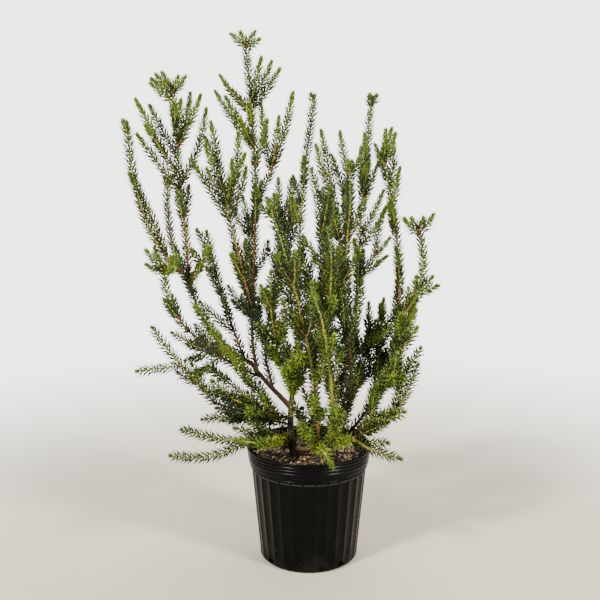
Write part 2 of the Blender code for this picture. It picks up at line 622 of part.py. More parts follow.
def sideways(direction, turn):
    """A unit vector square to the direction, at a compass turn seen from above."""
    flat = Vector((math.cos(turn), math.sin(turn), 0))
    across = flat - flat.dot(direction) * direction
    if across.length < LEAST_ACROSS:
        across = Vector((0, 0, 1)) - direction.z * direction
    return across.normalized()


def leading_shoot(parent, leader):
    """A shoot that leaves its parent's route and bows outward on its way to a given tip."""
    on, at, bow, tip = leader
    tip = Vector(tip) * MM
    start, heading = place_on(parent, at)
    across = tip - start
    out = across - across.dot(heading) * heading
    by = start.lerp(tip, 0.5) + out.normalized() * across.length * bow
    return route(start, by, tip, tooth_shares(across.length))


def grow(foliage, foot, chance):
    """The routes of a mass: its stem, its leaders, then each shoot of its whorls, by a seeded rule."""
    length = (foliage.tip - foot).length
    stem = route(foot, foliage.by, foliage.tip, tooth_shares(length))
    routes = [stem]
    for leader in foliage.leaders:
        routes.append(leading_shoot(routes[leader[0]], leader))
    for at, count, reach, spread, turn in foliage.whorls:
        for index in range(count):
            place = at - index * WHORL_STAGGER / length
            around = math.radians(turn + 360 * index / count + chance.uniform(-TURN_JITTER, TURN_JITTER))
            lean = math.radians(spread + chance.uniform(-SPREAD_JITTER, SPREAD_JITTER))
            shoot_length = reach * MM * chance.uniform(*LENGTH_SPAN)
            start, heading = place_on(stem, place)
            out = heading * math.cos(lean) + sideways(heading, around) * math.sin(lean)
            up = (out + heading * RETURN + Vector((0, 0, uplift(start.z)))).normalized()
            by = start + out * shoot_length * 0.5
            tip = by + up * shoot_length * 0.5
            routes.append(route(start, by, tip, tooth_shares(shoot_length)))
    return routes


def uplift(height):
    """How strongly shoots at a height turn upward; those low down lie flatter."""
    share = (height - UPLIFT_LOW) / (UPLIFT_HIGH - UPLIFT_LOW)
    return UPLIFT * min(1, max(0, share))


def waver(points, chance):
    """Bend a route a little from place to place, as grown wood bends."""
    for point in points[1:-1]:
        point += Vector([chance.uniform(-WAVER, WAVER) for axis in range(3)])


def tooth_reach(distance_to_tip):
    share = min(1, distance_to_tip / YOUNG_LENGTH)
    return TOOTH_REACH_YOUNG + (TOOTH_REACH_OLD - TOOTH_REACH_YOUNG) * share


def raise_teeth(mesh, owner, points, space):
    """Pull a tooth out of each side of each stretch, where its place is free."""
    middles = [(start + end) / 2 for start, end in zip(points, points[1:])]
    total = route_length(points)
    shape = bmesh.new()
    shape.from_mesh(mesh)
    sides = [face for face in shape.faces if len(face.verts) == 4]
    claims = []
    for face in sides:
        middle = face.calc_center_median()
        index = min(range(len(middles)), key=lambda place: (middles[place] - middle).length)
        if index == 0:
            continue
        stretch = points[index + 1] - points[index]
        heading = stretch.normalized()
        out = middle - middles[index]
        out = (out - out.dot(heading) * heading).normalized()
        reach = tooth_reach(total * (1 - (index + 0.5) / len(middles)))
        tip = middles[index] + out * reach + stretch * TOOTH_LEAN
        probes = [tip, middle.lerp(tip, 0.5)]
        probes += [points[index].lerp(tip, share) for share in TOOTH_PROBES]
        probes += [points[index + 1].lerp(tip, share) for share in TOOTH_PROBES]
        if not all(space.is_clear(owner, probe, TOOTH_CLEARANCE) for probe in probes):
            continue
        peak = bmesh.ops.poke(shape, faces=[face])["verts"][0]
        peak.co = tip
        claims += probes
    bmesh.ops.triangulate(shape, faces=shape.faces)
    shape.to_mesh(mesh)
    shape.free()
    for probe in claims:
        space.claim(owner, probe, TOOTH_RADIUS)


def tidy_shell(mesh):
    """Keep the one body: drop what fusing sealed inside or cut loose, and merge faces that lie flat."""
    shape = bmesh.new()
    shape.from_mesh(mesh)
    islands = []
    seen = set()
    for face in shape.faces:
        if face in seen:
            continue
        island = []
        stack = [face]
        seen.add(face)
        while stack:
            current = stack.pop()
            island.append(current)
            for edge in current.edges:
                for other in edge.link_faces:
                    if other not in seen:
                        seen.add(other)
                        stack.append(other)
        islands.append(island)
    main = max(islands, key=len)
    scraps = [face for island in islands if island is not main for face in island]
    bmesh.ops.delete(shape, geom=scraps, context="FACES")
    bmesh.ops.dissolve_limit(
        shape, angle_limit=FLAT_ANGLE, verts=shape.verts, edges=shape.edges, use_dissolve_boundaries=False)
    bmesh.ops.triangulate(shape, faces=shape.faces)
    shape.to_mesh(mesh)
    shape.free()


def cut_foot(item, cutter_mesh, cutters):
    """Shape a limb's foot to the limb that it grows from, one gap clear of it."""
    cutter = bpy.data.objects.new("foot_cutter", cutter_mesh)
    hide_as_cutter(cutter, cutters)
    cut = item.modifiers.new("foot", "BOOLEAN")
    cut.operation = "DIFFERENCE"
    cut.object = cutter
    apply_modifiers(item)
    bpy.data.objects.remove(cutter, do_unlink=True)
    tidy_shell(item.data)


class Plant:
    """Builds the limbs and the foliage in turn, and keeps the routes they grow from."""

    def __init__(self, collection, cutters, woods, greens):
        self.collection = collection
        self.cutters = cutters
        self.woods = woods
        self.greens = greens
        self.round_ring = section_ring(TRUNK_SIDES, cutters)
        self.bough_ring = section_ring(BOUGH_SIDES, cutters)
        self.core_ring = section_ring(CORE_SIDES, cutters)
        self.space = Space()
        self.routes = {}

    def cutter_for(self, name):
        """The named limb's shape, one gap larger all over."""
        points, radii = self.routes[name]
        points = [point.copy() for point in points]
        points[-1] += (points[-1] - points[-2]).normalized() * GAP
        points[0] -= (points[1] - points[0]).normalized() * GAP
        ring = self.round_ring if name == "trunk" else self.bough_ring
        return tube_mesh("cutter", points, [radius + GAP for radius in radii], ring)

    def build_trunk(self):
        points, radii = trunk_points()
        self.routes["trunk"] = (points, radii)
        mesh = tube_mesh("trunk", points, radii, self.round_ring)
        level_foot(mesh)
        add_object("trunk", mesh, self.collection, self.woods["trunk"])
        self.space.claim_route(("trunk", 0), points, radii)

    def build_bough(self, limb):
        chance = random.Random(limb.name)
        foot = place_on(self.routes[limb.parent][0], limb.at)[0]
        points = route(foot, limb.by, limb.tip, even_shares(BOUGH_SEGMENTS))
        waver(points, chance)
        radii = taper(limb.radii, len(points))
        self.routes[limb.name] = (points, radii)
        mesh = tube_mesh(limb.name, points, radii, self.bough_ring)
        item = add_object(limb.name, mesh, self.collection, self.woods[limb.name])
        cut_foot(item, self.cutter_for(limb.parent), self.cutters)
        self.space.claim_route((limb.name, 0), points, radii)

    def plan_foliage(self, foliage):
        """Lay out a mass's routes, and how thick its stem is at the foot."""
        parent_points, parent_radii = self.routes[foliage.parent]
        foot = place_on(parent_points, foliage.at)[0]
        chance = random.Random(foliage.name)
        routes = grow(foliage, foot, chance)
        for points in routes:
            waver(points, chance)
        if foliage.parent == "trunk":
            return routes, TRUNK_STEM_RADIUS * MM
        return routes, parent_radii[-1] * STEM_FOOT_SHARE

    def build_all_foliage(self):
        """Claim all the stems, then the shoots that find room, then build each mass."""
        plans = {}
        for foliage in FOLIAGE:
            routes, foot_radius = self.plan_foliage(foliage)
            radii = taper([foot_radius, STEM_TIP_RADIUS * MM], len(routes[0]))
            self.space.claim_route((foliage.name, 0), routes[0], radii)
            plans[foliage.name] = (routes, foot_radius)
        kept = {}
        for foliage in FOLIAGE:
            routes = plans[foliage.name][0]
            kept[foliage.name] = {0: routes[0]}
            for number, points in enumerate(routes[1:], 1):
                owner = (foliage.name, number)
                leads = number <= len(foliage.leaders)
                stands = not leads or foliage.leaders[number - 1][0] in kept[foliage.name]
                if stands and self.shoot_fits(owner, points, leads):
                    kept[foliage.name][number] = points
                    radii = taper([radius * MM for radius in SHOOT_RADIUS], len(points))
                    self.space.claim_route(owner, points, radii)
        for foliage in FOLIAGE:
            self.build_foliage(foliage, kept[foliage.name], plans[foliage.name][1])

    def shoot_fits(self, owner, points, leads):
        """Whether a shoot, past its first few millimetres, keeps clear of all other parts."""
        clearance = LEADER_CLEARANCE if leads else SHOOT_CLEARANCE
        for start, end in zip(points, points[1:]):
            count = math.ceil((end - start).length / PROBE_PITCH)
            for step in range(count):
                probe = start.lerp(end, (step + 1) / count)
                near_foot = (probe - points[0]).length < FOOT_REACH
                if not near_foot and not self.space.is_clear(owner, probe, clearance, leads):
                    return False
        return True

    def build_foliage(self, foliage, routes, foot_radius):
        """Fuse a stem and its toothed shoots into one solid."""
        pieces = bpy.data.collections.new(foliage.name)
        bpy.context.scene.collection.children.link(pieces)
        stem = None
        for number, points in routes.items():
            sizes = [foot_radius, STEM_TIP_RADIUS * MM]
            if number:
                sizes = [radius * MM for radius in SHOOT_RADIUS]
            mesh = tube_mesh("shoot", points, taper(sizes, len(points)), self.core_ring, TWIST)
            raise_teeth(mesh, (foliage.name, number), points, self.space)
            if number:
                add_object("shoot", mesh, pieces)
            else:
                stem = add_object(foliage.name, mesh, self.collection, self.greens[foliage.name])
        cut_foot(stem, self.cutter_for(foliage.parent), self.cutters)
        if len(routes) > 1:
            join = stem.modifiers.new("join", "BOOLEAN")
            join.operation = "UNION"
            join.operand_type = "COLLECTION"
            join.collection = pieces
            apply_modifiers(stem)
        for item in list(pieces.objects):
            bpy.data.objects.remove(item, do_unlink=True)
        bpy.data.collections.remove(pieces)
        tidy_shell(stem.data)


def level_foot(mesh):
    """Make the trunk's foot a flat, level cut."""
    for vertex in mesh.vertices:
        if vertex.co.z < MIX_TOP + LEVEL_HEIGHT:
            vertex.co.z = MIX_TOP + GAP


def main():
    clear_scene()
    parts = new_collection(PART_NAME)
    cutters = new_collection("cutters")
    pot_black = make_material("pot_black_plastic", (0.012, 0.012, 0.013), 0.32)
    mix_brown = make_material("potting_mix_bark", (0.16, 0.085, 0.045), 0.95)
    woods = {"trunk": make_material("trunk_bark", (0.1, 0.065, 0.045), 0.85)}
    for limb in BOUGHS:
        woods[limb.name] = make_material(f"{limb.name}_bark", (0.2, 0.1, 0.05), 0.75)
    greens = {}
    for foliage in FOLIAGE:
        greens[foliage.name] = make_material(f"{foliage.name}_green", (0.1, 0.17, 0.03), 0.6)
    build_pot(parts, cutters, pot_black)
    build_mix(parts, mix_brown)
    plant = Plant(parts, cutters, woods, greens)
    plant.build_trunk()
    for limb in BOUGHS:
        plant.build_bough(limb)
    plant.build_all_foliage()


main()
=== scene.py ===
import json
import math
import random

import bmesh
import bpy
import numpy as np
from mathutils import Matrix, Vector

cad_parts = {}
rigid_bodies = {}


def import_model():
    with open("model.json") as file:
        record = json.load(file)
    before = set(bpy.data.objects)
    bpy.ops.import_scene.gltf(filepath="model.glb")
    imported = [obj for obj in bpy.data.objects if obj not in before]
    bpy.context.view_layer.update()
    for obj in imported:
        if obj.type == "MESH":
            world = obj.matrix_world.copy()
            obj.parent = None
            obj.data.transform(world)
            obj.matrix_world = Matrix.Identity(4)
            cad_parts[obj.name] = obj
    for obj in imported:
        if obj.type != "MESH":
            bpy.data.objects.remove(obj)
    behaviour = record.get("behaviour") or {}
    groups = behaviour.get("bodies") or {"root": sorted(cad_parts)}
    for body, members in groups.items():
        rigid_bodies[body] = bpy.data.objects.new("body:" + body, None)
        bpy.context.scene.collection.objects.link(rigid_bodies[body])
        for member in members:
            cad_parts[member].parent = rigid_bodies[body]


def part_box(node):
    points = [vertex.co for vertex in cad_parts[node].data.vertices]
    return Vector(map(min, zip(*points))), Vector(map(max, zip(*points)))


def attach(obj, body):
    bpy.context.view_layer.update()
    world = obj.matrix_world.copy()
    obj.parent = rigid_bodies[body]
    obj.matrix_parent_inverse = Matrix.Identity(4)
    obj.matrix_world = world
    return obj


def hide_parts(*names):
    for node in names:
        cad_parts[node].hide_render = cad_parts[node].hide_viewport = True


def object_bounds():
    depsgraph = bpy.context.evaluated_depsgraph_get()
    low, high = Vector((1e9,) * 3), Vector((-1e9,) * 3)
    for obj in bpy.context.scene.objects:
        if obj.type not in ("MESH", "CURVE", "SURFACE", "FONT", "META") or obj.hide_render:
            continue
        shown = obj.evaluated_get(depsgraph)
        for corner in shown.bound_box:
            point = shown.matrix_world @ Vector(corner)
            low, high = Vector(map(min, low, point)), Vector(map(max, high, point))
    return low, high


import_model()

# Looks of the potted heath banksia. Metres, +Z up, the front is -Y. The shoots grow by the same
# seeded rule as the solids, and carry finer twigs and single needles.

CAD_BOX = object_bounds()
MM = 0.001

# Camera: a little to the left of the pot's axis, and looking down a few degrees.
CAMERA_PLACE = (-0.017, -1.483, 0.721)
CAMERA_DOWN = 8.5
CAMERA_LENS = 48

# Light: what falls on the plant from all round, and the plain backdrop, into which the floor fades.
AMBIENT = 0.62
BACKDROP = 3.9
BACKDROP_COLOR = (1, 0.975, 0.945)
FLOOR_FADE = (0.5, 2.1)

# Pot, as in the frame.
POT_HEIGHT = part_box("pot")[1].z
RIM_RADIUS = 120 * MM
LIP_DEPTH = 31 * MM
LIP_FOOT_RADIUS = 115.5 * MM
COLLAR_FOOT_HEIGHT = 180 * MM
COLLAR_TOP_RADIUS = 113.5 * MM
COLLAR_FOOT_RADIUS = 112 * MM
COLLAR_STEP = 1.2 * MM
WALL_FOOT_HEIGHT = 11 * MM
WALL_FOOT_RADIUS = 94.5 * MM
FOOT_CHAMFER = 7 * MM
WALL_THICKNESS = 3.6 * MM
FLOOR_THICKNESS = 3 * MM
FLUTES = 30
FLUTE_DEPTH = 1.8 * MM
FLUTE_COLUMNS = 8
DRAIN_HOLES = 4
DRAIN_WIDTH = 12 * MM
DRAIN_HEIGHT = 7 * MM
DRAIN_FIRST_TURN = math.radians(220)

# Potting mix.
MIX_TOP = 197 * MM
CHIPS = 1500
CHIP_SIZE = (3, 9)

# Trunk and the rule of growth, as in the frame.
GAP = 0.3 * MM
TRUNK_FOOT = (-26, -6)
TRUNK_MIDDLE = (-35, -7, 275)
TRUNK_TOP = (-25, 3, 352)
TRUNK_RADIUS = (6.6, 4.4)
FLARE_RADIUS = 5.5 * MM
FLARE_HEIGHT = 16 * MM
TRUNK_SEGMENTS = 9
BOUGH_SEGMENTS = 5
TOOTH_PITCH = 46 * MM
NECK = 14 * MM
SHOOT_RADIUS = (1.6, 1.3)
STEM_TIP_RADIUS = 1.3
TRUNK_STEM_RADIUS = 2.0
STEM_FOOT_SHARE = 0.85
WAVER = 1.2 * MM
UPLIFT = 0.45
UPLIFT_LOW = 300 * MM
UPLIFT_HIGH = 480 * MM
TURN_JITTER = 14
SPREAD_JITTER = 5
LENGTH_SPAN = (0.82, 1.12)
WHORL_STAGGER = 3 * MM
SHOOT_CLEARANCE = 7 * MM
LEADER_CLEARANCE = 3 * MM
OWN_CLEARANCE = 1.5 * MM
FOOT_REACH = 5 * MM
PROBE_PITCH = 4 * MM
CELL = 18 * MM

# Finer twigs: how far apart they stand on a shoot or a bough, and how long they are.
TWIG_PITCH_LOW = 15 * MM
TWIG_PITCH_HIGH = 60 * MM
TWIG_LENGTH = (24 * MM, 70 * MM)
TWIG_SHARE = (0.35, 0.6)
TWIG_LEAN = (20, 32)
TWIG_CLEARANCE = 2 * MM
TWIG_RADIUS = (1.0, 0.7)
TWIG_TRIES = 3
SPRAY_PITCH = 9 * MM
SPRAY_LENGTH = (60 * MM, 165 * MM)
TRUNK_SPRAY_FROM = 0.06
BOUGH_SPRAY_FROM = 0.1
CORE_RADIUS = 150 * MM
DENSE_BELOW = 380 * MM
OPEN_ABOVE = 500 * MM

# How far out twigs reach, seen from the front: a height, and the limit on each side there.
TWIG_LIMITS = [
    (207, -113, 112), (227, -121, 114), (247, -132, 129), (267, -167, 145), (287, -170, 158), (306, -185, 167),
    (345, -211, 181), (384, -237, 193), (442, -262, 194), (518, -268, 204), (720, -268, 204)]

# Openings in the crown, seen from the front: place and radius in the upright plane of the pot's axis.
OPENINGS = [
    (-70, 332, 18), (-74, 357, 8), (-97, 310, 9), (-133, 330, 11), (-167, 245, 17), (-197, 253, 12),
    (-214, 220, 12), (-193, 288, 11), (-242, 497, 15), (-233, 473, 11), (-247, 530, 10), (-195, 522, 11),
    (-140, 520, 15), (-149, 547, 14), (-158, 571, 13), (-162, 601, 18), (-163, 630, 15), (-194, 658, 26),
    (7, 540, 9), (9, 560, 11), (11, 647, 7), (3, 668, 9), (134, 535, 26), (118, 601, 11), (122, 622, 9),
    (116, 682, 8), (0, 571, 9), (80, 554, 7), (-24, 606, 6), (122, 645, 7), (124, 619, 7), (150, 513, 12),
    (154, 478, 9), (118, 351, 14), (80, 304, 10), (102, 450, 10), (180, 406, 9), (40, 436, 6),
    (-240, 518, 11), (-246, 490, 12), (-220, 457, 9), (-142, 528, 11), (-133, 499, 9), (-126, 467, 8), (-164, 456, 8), (-82, 560, 7),
    (-60, 471, 7), (148, 490, 9), (150, 580, 10), (188, 540, 11), (187, 582, 11), (187, 612, 11)]

# How full the wood of stems, shoots and twigs is drawn, and the shares of its length where a stem
# turns from brown to orange, from orange to gold and from gold to green.
TWIG_FULLNESS = (1.25, 1.1, 1)
WOOD_STAGES = ((0.1, 0.3, 0.75), (-1, 0.08, 0.6), (-1, -1, 0.2))

# How long the bright end of a whorl's shoot is, as a share of a leader's.
WHORL_BRIGHT = 0.55

# A stem whose leaders start past this share of it ends in a head of them, and isn't young itself.
HEAD_FROM = 0.88

# Needles, in millimetres and degrees. Thick wood is bare, and old needles stand out further.
NEEDLE_LENGTH = (8.5, 16.5)
NEEDLE_LEAN = (13, 46)
NEEDLE_LEAN_LOW = 56
NEEDLE_OPENING = 1.05
WHORL_NEEDLES = 5
WHORL_TURN = math.radians(41)
NEEDLE_WHORL_PITCH = (3.0, 4.9)
NEEDLE_WIDTH = (1.9, 2.8)
NEEDLE_THICKNESS = (1.6, 2.4)
NEEDLE_WIDEST = 0.25
BARE_RADIUS = 3.6 * MM
FRESH_LEAST = 16 * MM
TUFT_NEEDLES = 14
TUFT_LEAN = 20
GOLDEN_TURN = math.radians(137.5)
PIECE_LIMIT = 190000


class Limb:
    """One tapering bough: its parent, how far along the parent it starts, a place and its tip."""

    def __init__(self, name, parent, at, by, tip, radii):
        self.name = name
        self.parent = parent
        self.at = at
        self.by = Vector(by) * MM
        self.tip = Vector(tip) * MM
        self.radii = [radius * MM for radius in radii]


class Foliage:
    """One mass of foliage: a stem that grows on from a bough, whorls of side shoots, and leaders."""

    def __init__(self, name, bough, at, by, tip, whorls, leaders=()):
        self.name = name
        self.parent = bough
        self.at = at
        self.by = Vector(by) * MM
        self.tip = Vector(tip) * MM
        self.whorls = whorls
        self.leaders = leaders


BOUGHS = [
    Limb("left_bough", "trunk", 0.62, (-70, -12, 334), (-107, -15, 380), (4.9, 3.9)),
    Limb("left_leader_bough", "left_bough", 1.0, (-183, -32, 449), (-220, -32, 557), (3.3, 2.4)),
    Limb("top_leader_bough", "left_bough", 0.86, (-108, 8, 441), (-107, 18, 505), (3.0, 2.5)),
    Limb("left_spreading_bough", "left_bough", 0.72, (-155, -50, 398), (-217, -60, 451), (2.5, 1.9)),
    Limb("inner_back_bough", "left_bough", 0.45, (-84, 34, 398), (-78, 62, 452), (2.6, 2.0)),
    Limb("centre_bough", "trunk", 1.0, (-20, 8, 390), (-19, 13, 425), (3.4, 2.6)),
    Limb("centre_right_bough", "trunk", 0.88, (6, -20, 392), (22, -34, 435), (2.8, 2.2)),
    Limb("centre_back_bough", "trunk", 0.8, (-20, 54, 380), (-25, 92, 425), (2.8, 2.2)),
    Limb("right_low_bough", "trunk", 0.1, (28, -34, 225), (82, -38, 256), (4.6, 3.6)),
    Limb("right_outer_bough", "right_low_bough", 0.82, (138, -8, 334), (168, -18, 442), (3.0, 2.2)),
    Limb("right_inner_bough", "right_low_bough", 0.62, (74, 4, 330), (88, 20, 405), (2.9, 2.2)),
    Limb("right_spreading_bough", "right_inner_bough", 0.93, (120, -12, 432), (166, -40, 487), (2.2, 1.8)),
    Limb("right_lower_bough", "right_outer_bough", 0.45, (139, -46, 345), (159, -66, 373), (2.2, 1.8)),
    Limb("right_front_bough", "right_low_bough", 0.76, (76, -58, 370), (52, -66, 481), (2.3, 1.9)),
    Limb("low_left_bough", "trunk", 0.5, (-108, -26, 288), (-174, -35, 310), (2.6, 2.0)),
]

